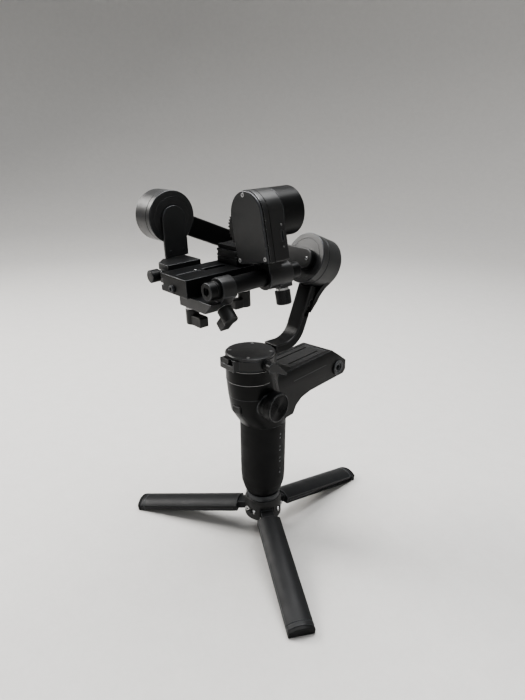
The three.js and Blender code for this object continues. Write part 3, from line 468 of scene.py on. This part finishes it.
def build_stand():
    refine("tripod_hub", BODY, 0.45)
    low, high, bore = 46.3, 52.3, 6
    lock = lathe([(bore, low), (17.5, low, 0.5), (17.9, low + 2.1, 0.2), (17.9, high - 1.5, 0.2),
                  (17.3, high, 0.5), (bore, high), (bore, low)], 96)
    piece("lock_ring_body", lock, BODY, "lock_ring", ("lock_ring",))
    profile = [(0, 0), (3, 0), (3, 1.6), (2.4, 2.1, 0.6), (1.2, 2.1), (1.1, 1.2), (0, 1.2)]
    for i in (1, 2, 3):
        side = joint_axis(f"leg_{i}_fold")
        out = side.cross(UP)
        place = joint_place(f"leg_{i}_fold")
        space = axes(place, out * cos(LEG_SLOPE) - UP * sin(LEG_SLOPE), side)
        grooves = [box(LEG_FROM + 5, LEG_END - 4, *sorted((s * (LEG_HALF - 0.55), s * 14)), -2.3, -1.5, 0)
                   for s in (-1, 1)]
        band = combine(prism(leg_outline(-1), LEG_END - 4.8, LEG_END - 4, 0, "x"),
                       [prism(leg_outline(0.55), LEG_END - 6, LEG_END - 2, 0, "x")])
        refine(f"leg_{i}", space, 0.45, (*grooves, band), finish=(LEG_PLASTIC, LEG_EDGE_WEAR_AND_HIGHLIGHT))
        refine(f"foot_pad_{i}", space, 0.4)
        pin_space = axes(place, out, side)
        heads = [moved(lathe(profile, 36), turn, at(0, s * 12.1, 0))
                 for s, turn in ((1, TO_Y), (-1, TO_Y.inverted()))]
        shaft = moved(rod(1.5, -12.2, 12.2), TO_Y)
        piece(f"leg_pin_{i}_body", joined(*heads, shaft), pin_space, f"leg_pin_{i}", (f"leg_pin_{i}",))


# ---- Grip -----------------------------------------------------------------------------------------
LIGHTS = (82, 95, 108, 122)
BUTTONS = (105, 114)
GRIP_SIDE = 22.9  # radius where the lights are
GRIP_BORE = 9.3


def build_grip():
    outside = [(15.5, 52.6, 1.2), (19.2, 56.2, 4), (22.2, 66, 9), (22.9, 76, 9), (23.2, 110), (23.4, 136, 0.5)]
    inside = [(20.4, 136), (20.4, 76), (19.6, 66), (17, 60.5), (GRIP_BORE, 60.5)]
    wall = lathe([(GRIP_BORE, 52.6), *outside, *inside, (GRIP_BORE, 52.6)], 96)
    window = box(-9, 9, 12, 30, 100, 134, 0)
    holes = [moved(rod(1.3, 15, 30), TO_X, at(0, 0, z)) for z in LIGHTS]
    wall = combine(wall, [window, *holes])
    piece("grip_wall", wall, BODY, "grip_shell", ("grip_shell",))
    piece("grip_seam", ring(23.35, 136.05, 136.4, 0.05, edge=0), BODY, "grip_shell", finish=(HOLE, HOLE))
    dome = [(0, -4), (1.05, -4), (1.05, 0), (0.7, 0.3, 0.3), (0, 0.35)]
    lenses = [moved(lathe(dome, 24), TO_X, at(GRIP_SIDE, 0, z)) for z in LIGHTS]
    piece("light_lenses", joined(*lenses), BODY, "light_pipe")
    marks = []
    for z, drawing in zip(LIGHTS, ("bar", "bars", "triangle", "dot")):
        if drawing == "triangle":
            marks.append(prism([(-1.2, z + 3.4), (-1.2, z + 5.8), (1.2, z + 4.6)], GRIP_SIDE, 23.34, 0, "x"))
        elif drawing == "dot":
            marks.append(moved(rod(1, GRIP_SIDE, 23.42), TO_X, at(0, 0, z + 4.4)))
        else:
            half, low, high = 0.35, z + 3.4, z + 5.6
            for c in (0,) if drawing == "bar" else (-0.8, 0.8):
                bar = [(c - half, low), (c + half, low), (c + half, high), (c - half, high)]
                marks.append(prism(bar, 22.7, 23.3, 0, "x"))
    piece("function_marks", joined(*marks), BODY, "grip_shell", finish=(PRINT, PRINT))
    refine("control_panel", BODY, 0.3)
    profile = [(0, 13.4), (2.5, 13.4), (2.5, 25, 0.5), (1.6, 24.75, 0.8), (0, 24.6)]
    for i, z in enumerate(BUTTONS):
        cap = moved(lathe(profile, 48), TO_Y, at(0, 0, z))
        piece(f"button_{i + 1}_cap", cap, BODY, f"button_{i + 1}", (f"button_{i + 1}",))
    pivot = joint_place("joystick_tilt")
    space = axes(pivot, (1, 0, 0), (0, 1, 0))
    stick = lathe([(0, 0.2), (1.5, 0.2), (1.5, 11.4, 0.4), (3.3, 12, 0.4), (3.4, 13.5, 0.5), (2.6, 13.8, 0.3),
                   (0, 13.1)], 48)
    studs = [moved(lathe([(0, 0), (0.28, 0), (0.2, 0.25, 0.1), (0, 0.3)], 12),
                   at(1.5 * cos(k * pi / 3), 1.5 * sin(k * pi / 3), 13.25)) for k in range(6)]
    piece("joystick_cap", moved(joined(stick, *studs), TO_Y), space, "joystick", ("joystick",))


# ---- Head and rear arm ----------------------------------------------------------------------------
PAN_AXIS_Y = -18.25
WHEEL = {"y": -16, "z": 165, "radius": 14.5, "inner": 24.3, "outer": 34.6}


def build_wheel():
    """A ribbed rim round a dished face turned in fine rings."""
    radius, inner, outer = WHEEL["radius"], WHEEL["inner"], WHEEL["outer"]
    dish, steps = 1.3, 48
    face = [(0, outer - dish)]
    for k in range(1, steps):
        groove = 0.06 if k % 2 else -0.06
        face.append((12.6 * k / steps, outer - dish + 0.85 * k / steps + groove))
    side = radius - 0.35
    core = lathe([(0, inner - 9), (2, inner - 9), (2, inner), (radius - 1.2, inner), (side, inner + 0.7, 0.3),
                  (side, outer - 1.2, 0.3), (radius - 1.1, outer, 0.35), (12.9, outer, 0.2),
                  (12.75, outer - 0.5), *reversed(face)], 96)
    rim = combine(knurled(radius, inner + 1.1, outer - 1.6, 84, 0.4, 0.25),
                  [rod(radius - 0.9, inner - 1, outer + 1)])
    space = axes(joint_place("focus_wheel_turn"), (1, 0, 0), (0, 1, 0))
    piece("focus_wheel_core", moved(core, TO_X), space, "focus_wheel", ("focus_wheel",),
          (DEEP_BLACK, ANODISED_EDGE_WEAR_AND_HIGHLIGHT), sharp=30)
    piece("focus_wheel_rim", moved(rim, TO_X), space, "focus_wheel")
    # A thin steel ring near the face's outer edge is a painted highlight along the wheel's edge.
    bright = ring(radius - 0.75, outer - 0.75, outer - 0.45, 0.12, 0.4, 0.05)
    piece("focus_wheel_highlight_ring", moved(bright, TO_X), space, "focus_wheel", finish=(DARK_STEEL, DARK_STEEL))


def build_head():
    refine("head_shell", BODY, 0.7, angle=36, finish=(DEEP_BLACK, ANODISED_EDGE_WEAR_AND_HIGHLIGHT))
    # Thin proud rings round the head in light metal are painted highlights where its chamfered edges catch the
    # light: bright on the upper two, faint on the lowest.
    for i, (z, radius) in enumerate(((201.6, 24.0), (188.4, 23.55), (172.2, 21.75))):
        line = moved(ring(radius, z, z + 0.45, 0.12), at(0, PAN_AXIS_Y, 0))
        bright = HIGHLIGHT_PAINT if i < 2 else ANODISED_EDGE_WEAR_AND_HIGHLIGHT
        piece(f"head_highlight_line_{i + 1}", line, BODY, "head_shell", finish=(bright, GREY))
    inlays = [box(*sorted((s * 21.9, s * 22.12)), 22, 78, 176.2, 176.6, 0) for s in (-1, 1)]
    piece("arm_side_line", joined(*inlays), BODY, "head_shell", finish=(GREY, GREY))
    refine("arm_cover", BODY, 0.3)
    face, drive = 24, 4.9
    boss = lathe([(0, 17), (6.9, 17), (6.9, 22.3), (8.2, 22.3), (8.2, face, 0.5), (7, face, 0.2),
                  (6.6, face - 0.5), (6.2, face, 0.2), (5.2, face, 0.3), (drive, 22.8), (3, 22.8, 0.2),
                  (2.95, 18.5), (0, 18.5)], 72, hexed(drive))
    piece("arm_boss_body", moved(boss, TO_X, at(0, 100, 167)), BODY, "arm_boss", ("arm_boss",))
    refine("front_trigger", BODY, 1.1, segments=3)
    build_wheel()


# ---- Motors, in axes whose z comes out of the turning face --------------------------------------------
GROOVE = 0.25  # depth of the fine ring turned in a motor's face


def motor_shell(radius, depth, rotor):
    wall, chamfer = radius - 2.4, 1.4
    return lathe([(0, -depth), (radius - 6, -depth, 0.3), (radius - 5.6, 0.3 - depth), (radius - 5.2, -depth, 0.3),
                  (radius - chamfer, -depth, 0.9), (radius, chamfer - depth, 0.9), (radius, -rotor - 0.4, 0.3),
                  (wall, -rotor - 0.4), (wall, 3 - depth), (0, 3 - depth)], 96)


def motor_disc(radius, depth, rotor):
    return lathe([(0, -depth + 4), (5.6, -depth + 4), (5.6, -rotor), (radius, -rotor, 0.3), (radius, 0, 0.9),
                  (radius - 5.2, 0, 0.1), (radius - 5.4, -GROOVE), (radius - 5.6, -GROOVE),
                  (radius - 5.8, 0, 0.1), (0, 0)], 96)


# ---- Pan stage --------------------------------------------------------------------------------------
def roll_neck(radius):
    """The flared web that carries the roll motor, thinner towards its end."""
    end, fillet, front, back, half = 49.5, 40, -21.2, -27.6, 9
    side = half + fillet
    drop = ((radius + fillet) ** 2 - side ** 2) ** 0.5
    sweep = atan2(drop, side)
    flare = [(side - fillet * cos(sweep * k / 16), fillet * sin(sweep * k / 16) - drop) for k in range(17)]
    plan = [(half, -end), *flare, *[(-x, y) for x, y in reversed(flare)], (-half, -end)]
    taper = [(0, back), (12 - end, back + 1), (-end, front - 1.2), (-end, front), (0, front)]
    web = combine(prism(plan, back, front, 0), [prism(taper, -60, 60, 0, "x")], "INTERSECT")
    return soften(combine(web, [rod(radius - 1, -60, 60, turns=96)]), 0.7, 30, 3)


def build_pan():
    refine("pan_rotor", PAN, 0.45)
    low, high, radius, reach = 213.2, 215.85, 23.9, 19.6
    cap = lathe([(0, low), (radius, low), (radius, 215, 0.2), (radius - 1, high, 0.25), (0, high)], 96)
    places = [at(reach * cos(a), reach * sin(a), 0) for a in [pi / 4 + k * pi / 2 for k in range(4)]]
    cap = combine(cap, [moved(rod(1.95, 214.8, 220), place) for place in places])
    piece("pan_cap_body", cap, PAN, "pan_cap", ("pan_cap",), (SATIN, ANODISED_EDGE_WEAR_AND_HIGHLIGHT))
    screws = [moved(screw(1.7, 0.75), at(0, 0, 214.95), place) for place in places]
    piece("pan_cap_screws", joined(*screws), PAN, "pan_cap", finish=(ZINC, ZINC))
    line = ring(24.1, 203.1, 203.5, 0.1)
    piece("pan_rotor_line", line, PAN, "pan_rotor", finish=(ANODISED_EDGE_WEAR_AND_HIGHLIGHT, GREY))
    refine("lock_slider", PAN, 0.5)
    refine("arm_lever", PAN, 0.6, segments=3)
    lean = ROLL.inverted() @ PAN
    holes = [moved(rod(size, 7.6, 12), TO_X, at(0, y, z), lean.inverted())
             for size, y, z in ((1.7, -39.3, -18.7), (1.2, -45.6, -17.1), (1.2, -52.1, -16.8))]
    refine("pan_arm", PAN, 1.5, holes, angle=50, segments=3, finish=(DEEP_BLACK, ANODISED))
    radius, depth, rotor = 24.7, 28, 8
    shell = motor_shell(radius, depth, rotor)
    piece("roll_housing_body", shell, ROLL, "roll_housing", ("roll_housing",), (SATIN, ANODISED_EDGE_WEAR_AND_HIGHLIGHT))
    piece("roll_neck", roll_neck(radius), ROLL, "roll_housing", finish=(DEEP_BLACK, ANODISED))
    disc = motor_disc(radius, depth, rotor)
    piece("roll_rotor_body", disc, ROLL, "roll_rotor", ("roll_rotor",), (SATIN, ANODISED_EDGE_WEAR_AND_HIGHLIGHT))


# ---- Roll and tilt stages ------------------------------------------------------------------------------
TILT_FACE_X, TILT_AHEAD = -75.1, 106.9


def build_roll_and_tilt():
    refine("roll_arm", ROLL, 1.2, angle=50, segments=3, finish=(DEEP_BLACK, ANODISED))
    piece("roll_arm_screw", moved(screw(1.7, 0.7), at(11.2, -1.2, 8)), ROLL, "roll_arm", finish=(GREY, STEEL))
    radius, depth, rotor = 24.1, 27.3, 6.5
    mount = axes(ROLL @ Vector((TILT_FACE_X, 0, TILT_AHEAD)), -ROLL_Z, ROLL_Z.cross(PAN_X))
    shell = motor_shell(radius, depth, rotor)
    piece("tilt_housing_body", shell, mount, "tilt_housing", ("tilt_housing",), (SATIN, ANODISED_EDGE_WEAR_AND_HIGHLIGHT))
    disc = moved(motor_disc(radius, depth, rotor), TO_X, at(TILT_FACE_X, 0, 0))
    piece("tilt_rotor_body", disc, TILT, "tilt_rotor", ("tilt_rotor",), (SATIN, ANODISED_EDGE_WEAR_AND_HIGHLIGHT))
    half, low, face = 12.4, -36.3, -71.8
    crown = [(half * cos(pi * k / 24), half * sin(pi * k / 24) - 1.5) for k in range(25)]
    arm = prism([(-half, low), (half, low), *crown], TILT_FACE_X + 0.3, face, 0.7, "x", 3)
    piece("tilt_arm_body", arm, TILT, "tilt_arm", ("tilt_arm",), (SATIN, ANODISED_EDGE_WEAR_AND_HIGHLIGHT))
    screws = [moved(screw(1.5, 0.5), TO_X, at(face, y, -31)) for y in (-7, 7)]
    piece("tilt_arm_screws", joined(*screws), TILT, "tilt_arm", finish=(ANODISED_EDGE_WEAR_AND_HIGHLIGHT, GREY))
    refine("clamp_block", TILT, 0.5)
    space = axes(joint_place("clamp_knob_turn"), TILT_X, TILT_Y)
    knob = joined(knurled(5.8, -12, -3.2, 30, 0.45), rod(4.4, -3.5, -1.2, 0.3),
                  lathe([(0, -12.2), (4, -12.2, 0.3), (4.6, -11.5), (0, -11.5)]), rod(2, -1, 14))
    piece("clamp_knob_body", moved(knob, TO_Y), space, "clamp_knob", ("clamp_knob",))
    piece("clamp_knob_washer", moved(washer(4.6, -1.4, -0.2), TO_Y), space, "clamp_knob", finish=(STEEL, STEEL))


# ---- Camera plate ----------------------------------------------------------------------------------
SCREW_X, SCREW_Y = -26, 42
PAD_TOP = -23.6
FACET_SLOPE = radians(-45)
SIDE_X = TILT_X * cos(FACET_SLOPE) - TILT_X.cross(TILT_Y) * sin(FACET_SLOPE)
PADDLE_HALF, PADDLE_HEIGHT = 4.4, 9


def thumb_screw(name, joint, across, shaft, neck, hub, reach, height, along):
    """An L: a hub with a paddle to one side, hanging from its washer."""
    space = axes(joint_place(joint), across, TILT_Y)
    low = -neck - height
    inner, outer = 0.6 * hub * (1 if reach > 0 else -1), reach
    foot = [(inner, low), (outer, low, 1.2), (outer, low + PADDLE_HEIGHT, 1.6), (inner, low + PADDLE_HEIGHT)]
    if reach < 0:
        foot.reverse()
    paddle = prism(foot, -PADDLE_HALF, PADDLE_HALF, 0.8, "y" if along == "x" else "x", 3)
    body = lathe([(0, low), (hub, low, 0.7), (hub, -neck - 0.6, 0.2), (hub - 0.8, -neck, 0.2), (0, -neck)], 60)
    piece(f"{name}_handle", joined(paddle, body), space, name, (name,))
    piece(f"{name}_washer", joined(washer(hub - 0.6, -neck, -neck + 1), rod(2.7, -neck, shaft)), space, name,
          finish=(STEEL, STEEL))
    if neck > 5:
        piece(f"{name}_collar", rod(4.4, -neck + 1, -0.3, 0.4), space, name)


def pad_hatch():
    """Rows of small pyramids on the pad, clear of the camera screw."""
    pitch_x, pitch_y, clear, right = 2.55, 2.5, 5, -12.8
    studs = []
    for i in range(11):
        for j in range(15):
            x, y = -38.6 + pitch_x * i + (1.27 if j % 2 else 0), 26.6 + pitch_y * j
            if (x - SCREW_X) ** 2 + (y - SCREW_Y) ** 2 > clear ** 2 and x < right:
                stud = lathe([(0, 0), (1.15, 0), (0.5, 0.6), (0, 0.6)], 4)
                studs.append(moved(stud, at(x, y, PAD_TOP - 0.05)))
    return joined(*studs)


def build_plate():
    marks = []
    for k in range(20):
        y, end = 20 - 2.5 * k, -41.1 if k % 5 == 0 else -42.4
        marks.append(box(-44.1, end, y - 0.2, y + 0.2, -40.95, -40.82, 0))
    piece("plate_scale", joined(*marks), TILT, "base_plate", finish=(PRINT, PRINT))
    refine("base_plate", TILT, 0.5, [box(-27, -25, -30, -6, -41.9, -40, 0)], finish=(DEEP_BLACK, ANODISED_EDGE_WEAR_AND_HIGHLIGHT))
    stop = moved(screw(1.5, 0.6), at(-30.5, -8, -40.9))
    piece("plate_stop_screw", stop, TILT, "base_plate", finish=(DARK_STEEL, STEEL))
    bolt = moved(screw(3.2, 1.9, 0.5, 1.4), TO_Y.inverted(), at(-27, -35.3, -52))
    piece("plate_bolt_body", bolt, TILT, "plate_bolt", ("plate_bolt",))
    refine("riser", TILT, 0.4)
    refine("quick_plate", TILT, 0.45)
    refine("plate_pad", TILT, 0.25)
    piece("pad_hatch", pad_hatch(), TILT, "plate_pad", sharp=20)
    thread = [(3.1 if k % 2 else 2.75, PAD_TOP - 8 + 0.45 * k) for k in range(26)]
    head = PAD_TOP - 11.1
    screw_body = lathe([(0, head), (6.4, head, 0.3), (6.4, head + 2.9, 0.3), (3.1, head + 2.9), *thread,
                        (2.3, PAD_TOP + 4.2), (0, PAD_TOP + 4.6)], 40)
    screw_body = moved(screw_body, at(SCREW_X, SCREW_Y, 0))
    piece("camera_screw_body", screw_body, TILT, "camera_screw", ("camera_screw",))
    thumb_screw("plate_knob", "plate_knob_turn", TILT_X, 18, 13, 6, -14.5, 15.5, "y")
    thumb_screw("bracket_screw", "bracket_screw_turn", TILT_X, 16, 2.5, 6, 17.5, 14, "x")
    thumb_screw("rod_screw", "rod_screw_turn", SIDE_X, 3.8, 1.2, 6.6, -15, 13.5, "x")


def build_rod():
    front, back, radius, thread, bore = -30.5, 69.5, 7.5, 3.4, 16
    mouth, neck = thread + 0.6, radius - 0.35
    place = at(18, 0, -47)
    tube = lathe([(0, front + bore), (thread, front + bore), (thread, front + 0.8), (mouth, front),
                  (radius, front, 0.6), (radius, front + 7), (neck, front + 7.3), (neck, front + 7.7),
                  (radius, front + 8), (radius, back, 0.6), (mouth, back), (thread, back - 0.8),
                  (thread, back - bore), (0, back - bore)], 72)
    piece("rod_body", moved(tube, TO_Y, place), TILT, "rod", ("rod",), (DEEP_BLACK, ANODISED_EDGE_WEAR_AND_HIGHLIGHT))
    threads = []
    for k in range(10):
        y = front + 1.5 + 1.25 * k
        threads.append(moved(lathe([(3.6, y), (3.1, y + 0.3), (3.6, y + 0.6), (3.6, y)], 36), TO_Y, place))
    piece("rod_threads", joined(*threads), TILT, "rod")
    refine("rod_bracket", TILT, 0.5)


# ---- Lens servo --------------------------------------------------------------------------------------
SERVO_RADIUS, SERVO_CENTRE, SERVO_FOOT = 21.6, 53.5, 13
GEAR_X, GEAR_Z = -16, 44


def servo_outline(inset, corner=1.5):
    radius = SERVO_RADIUS - inset
    foot = SERVO_RADIUS - 0.2 - inset
    arc = [(radius * cos(pi * k / 32), SERVO_CENTRE + radius * sin(pi * k / 32)) for k in range(33)]
    return [(-foot, SERVO_FOOT + inset, corner), (foot, SERVO_FOOT + inset, corner), *arc]


def build_servo():
    port_y, port_low, port_high = 40.4, 29, 39
    body = prism(servo_outline(0), 24, 45, 0.5, "y")
    groove = combine(prism(servo_outline(-1), 28.4, 29, 0, "y"), [prism(servo_outline(0.4), 27, 30, 0, "y")])
    body = combine(body, [moved(rod(16.7, 23, 31), TO_Y, at(GEAR_X, 0, GEAR_Z)),
                          moved(rod(2.9, 24, 36), TO_Y, at(GEAR_X, 0, GEAR_Z)),
                          box(SERVO_RADIUS - 3, 26, port_y - 1.7, port_y + 1.7, port_low, port_high, 0),
                          groove])
    piece("servo_body_shell", body, SERVO, "servo_body", ("servo_body",), (ANODISED, ANODISED_EDGE_WEAR_AND_HIGHLIGHT))
    # The cover's wide bevel takes the lighter edge finish: a painted highlight along the cover's edge.
    plate = prism(servo_outline(0.6), 21, 23.7, 1.1, "y", 3)
    piece("servo_cover_plate", plate, SERVO, "servo_cover", ("servo_cover",), (SATIN, ANODISED_EDGE_WEAR_AND_HIGHLIGHT))
    # A thin steel ring round the cover's rim is a painted highlight along its edge.
    rim = combine(prism(servo_outline(0.15), 23.6, 24.1, 0.1, "y"), [prism(servo_outline(3), 23, 25, 0, "y")])
    piece("servo_rim_highlight", rim, SERVO, "servo_cover", finish=(DARK_STEEL, DARK_STEEL))
    places = ((0, 71.2), (-17.4, 17), (17.4, 17))
    screws = [moved(screw(1.9, 0.5), TO_Y.inverted(), at(x, 21.2, z)) for x, z in places]
    piece("servo_screws", joined(*screws), SERVO, "servo_cover", finish=(ZINC, ZINC))
    wide = SERVO_RADIUS - 0.2
    can = lathe([(0, 45.3), (wide, 45.3, 0.5), (wide, 70, 1), (wide - 9, 70, 0.2), (wide - 9.4, 69.5),
                 (wide - 10.2, 69.5), (wide - 10.6, 70, 0.2), (0, 70)], 96)
    can = moved(can, TO_Y, at(0, 0, SERVO_CENTRE))
    piece("motor_can_body", can, SERVO, "motor_can", ("motor_can",), (DEEP_BLACK, ANODISED_EDGE_WEAR_AND_HIGHLIGHT))
    gear_space = axes(joint_place("gear_turn"), SERVO_Y.cross(SERVO_Z), SERVO_Y)
    teeth = prism(toothed(32, 14.3, 16, 0.33), 24.2, 30.2, 0.3, "y", 1)
    gear = joined(teeth, moved(rod(2.5, 29.2, 35.2, 0.3), TO_Y))
    piece("servo_gear_body", gear, gear_space, "servo_gear", ("servo_gear",))
    face = SERVO_RADIUS - 0.4
    frames = []
    for inset, low, high in ((0, face - 1.4, face + 0.3), (0.7, face - 0.9, face + 1)):
        y0, y1 = port_y - 1.6 + inset, port_y + 1.6 - inset
        z0, z1 = port_low + 0.1 + inset, port_high - 0.1 - inset
        corner = 1.4 - inset
        sides = [(y0, z0, corner), (y1, z0, corner), (y1, z1, corner), (y0, z1, corner)]
        frames.append(prism(sides, low, high, 0, "x"))
    piece("servo_port", combine(frames[0], frames[1:]), SERVO, "servo_body", finish=(GREY, GREY))
    pins = [moved(screw(0.9, 0.35), TO_X, at(SERVO_RADIUS - 0.2, port_y, z))
            for z in (port_low - 4, port_high + 4)]
    piece("servo_port_screws", joined(*pins), SERVO, "servo_body", finish=(GREY, STEEL))
    refine("servo_clamp", SERVO, 0.5)
    knob_space = axes(joint_place("servo_knob_turn"), SERVO_Y.cross(SERVO_Z), SERVO_Y)
    end = lathe([(0, -28), (6, -28, 0.4), (6.4, -27.3), (0, -27.3)])
    knob = joined(knurled(7, -27.6, -15, 36, 0.35, 0.5), end, rod(2.6, -13, -8.2))
    piece("servo_knob_body", knob, knob_space, "servo_knob", ("servo_knob",))
    piece("servo_knob_washer", washer(5.8, -15, -12.8), knob_space, "servo_knob", finish=(STEEL, STEEL))


build_stand()
build_grip()
build_head()
build_pan()
build_roll_and_tilt()
build_plate()
build_rod()
build_servo()

for node, shown in frame["nodes"].items():
    if not shown.hide_render:
        shown.data.materials.clear()
        for material in FINISH[NODE_SLOT[node]]:
            shown.data.materials.append(material)


# ---- Studio ------------------------------------------------------------------------------------------
def studio_floor():
    """A pale floor that rises into a wall on every side."""
    radius, height, curve = 3200, 3600, 1900
    bowl = lathe([(0, 0), (radius, 0, curve), (radius, height)], 128)
    bowl.transform(Matrix.Translation((HUB.x, HUB.y, 0)) @ Matrix.Scale(MM, 4))
    mesh = bpy.data.meshes.new("studio_floor")
    bowl.to_mesh(mesh)
    bowl.free()
    mesh.polygons.foreach_set("use_smooth", [True] * len(mesh.polygons))
    paint = surface("studio_paint", grey(0.54, WARM), grey(0.58, WARM), (0.7, 0.8), 400, specular=0.2, relief=0.1)
    for _ in range(2):
        mesh.materials.append(paint)
    made = bpy.data.objects.new("studio_floor", mesh)
    bpy.context.scene.collection.objects.link(made)


def area_light(name, place, aim, size, power, color=(1, 1, 1)):
    data = bpy.data.lights.new(name, "AREA")
    data.size = size
    data.energy = power
    data.color = color
    made = bpy.data.objects.new(name, data)
    made.location = place
    made.rotation_euler = (Vector(aim) - Vector(place)).to_track_quat("-Z", "Y").to_euler()
    bpy.context.scene.collection.objects.link(made)


studio_floor()
AIM = HUB + Vector((0, 0, 0.2))
area_light("key", HUB + Vector((-1.25, -0.5, 1.15)), AIM, 0.7, 24, (1, 0.98, 0.95))
area_light("fill", HUB + Vector((1.2, -0.6, 0.8)), AIM, 0.8, 3, (0.92, 0.97, 1))
area_light("top", HUB + Vector((-0.1, 0.25, 1.5)), AIM, 1.2, 34)
sun = bpy.data.objects.new("sun", bpy.data.lights.new("sun", "SUN"))
sun.data.energy = 0.5
sun.data.angle = radians(30)
sun.rotation_euler = Vector((-0.6, -0.3, 1.6)).to_track_quat("Z", "Y").to_euler()
bpy.context.scene.collection.objects.link(sun)
world = bpy.data.worlds.new("studio")
world.use_nodes = True
world.node_tree.nodes["Background"].inputs["Color"].default_value = (0.93, 0.96, 1, 1)
world.node_tree.nodes["Background"].inputs["Strength"].default_value = 0.45
bpy.context.scene.world = world
bpy.context.scene.view_settings.look = "AgX - Medium High Contrast"

FOCAL_LENGTH = 28.09
CAMERA_FROM_HUB = (0.3250, -0.3749, 0.4000)
DOWN, ROUND = 20.89, 40.97  # degrees
camera = bpy.data.objects.new("camera", bpy.data.cameras.new("camera"))
camera.data.lens = FOCAL_LENGTH
camera.data.clip_start = 0.02
camera.location = HUB + Vector(CAMERA_FROM_HUB)
camera.rotation_euler = (radians(90 - DOWN), 0, radians(ROUND))
bpy.context.scene.collection.objects.link(camera)
bpy.context.scene.camera = camera
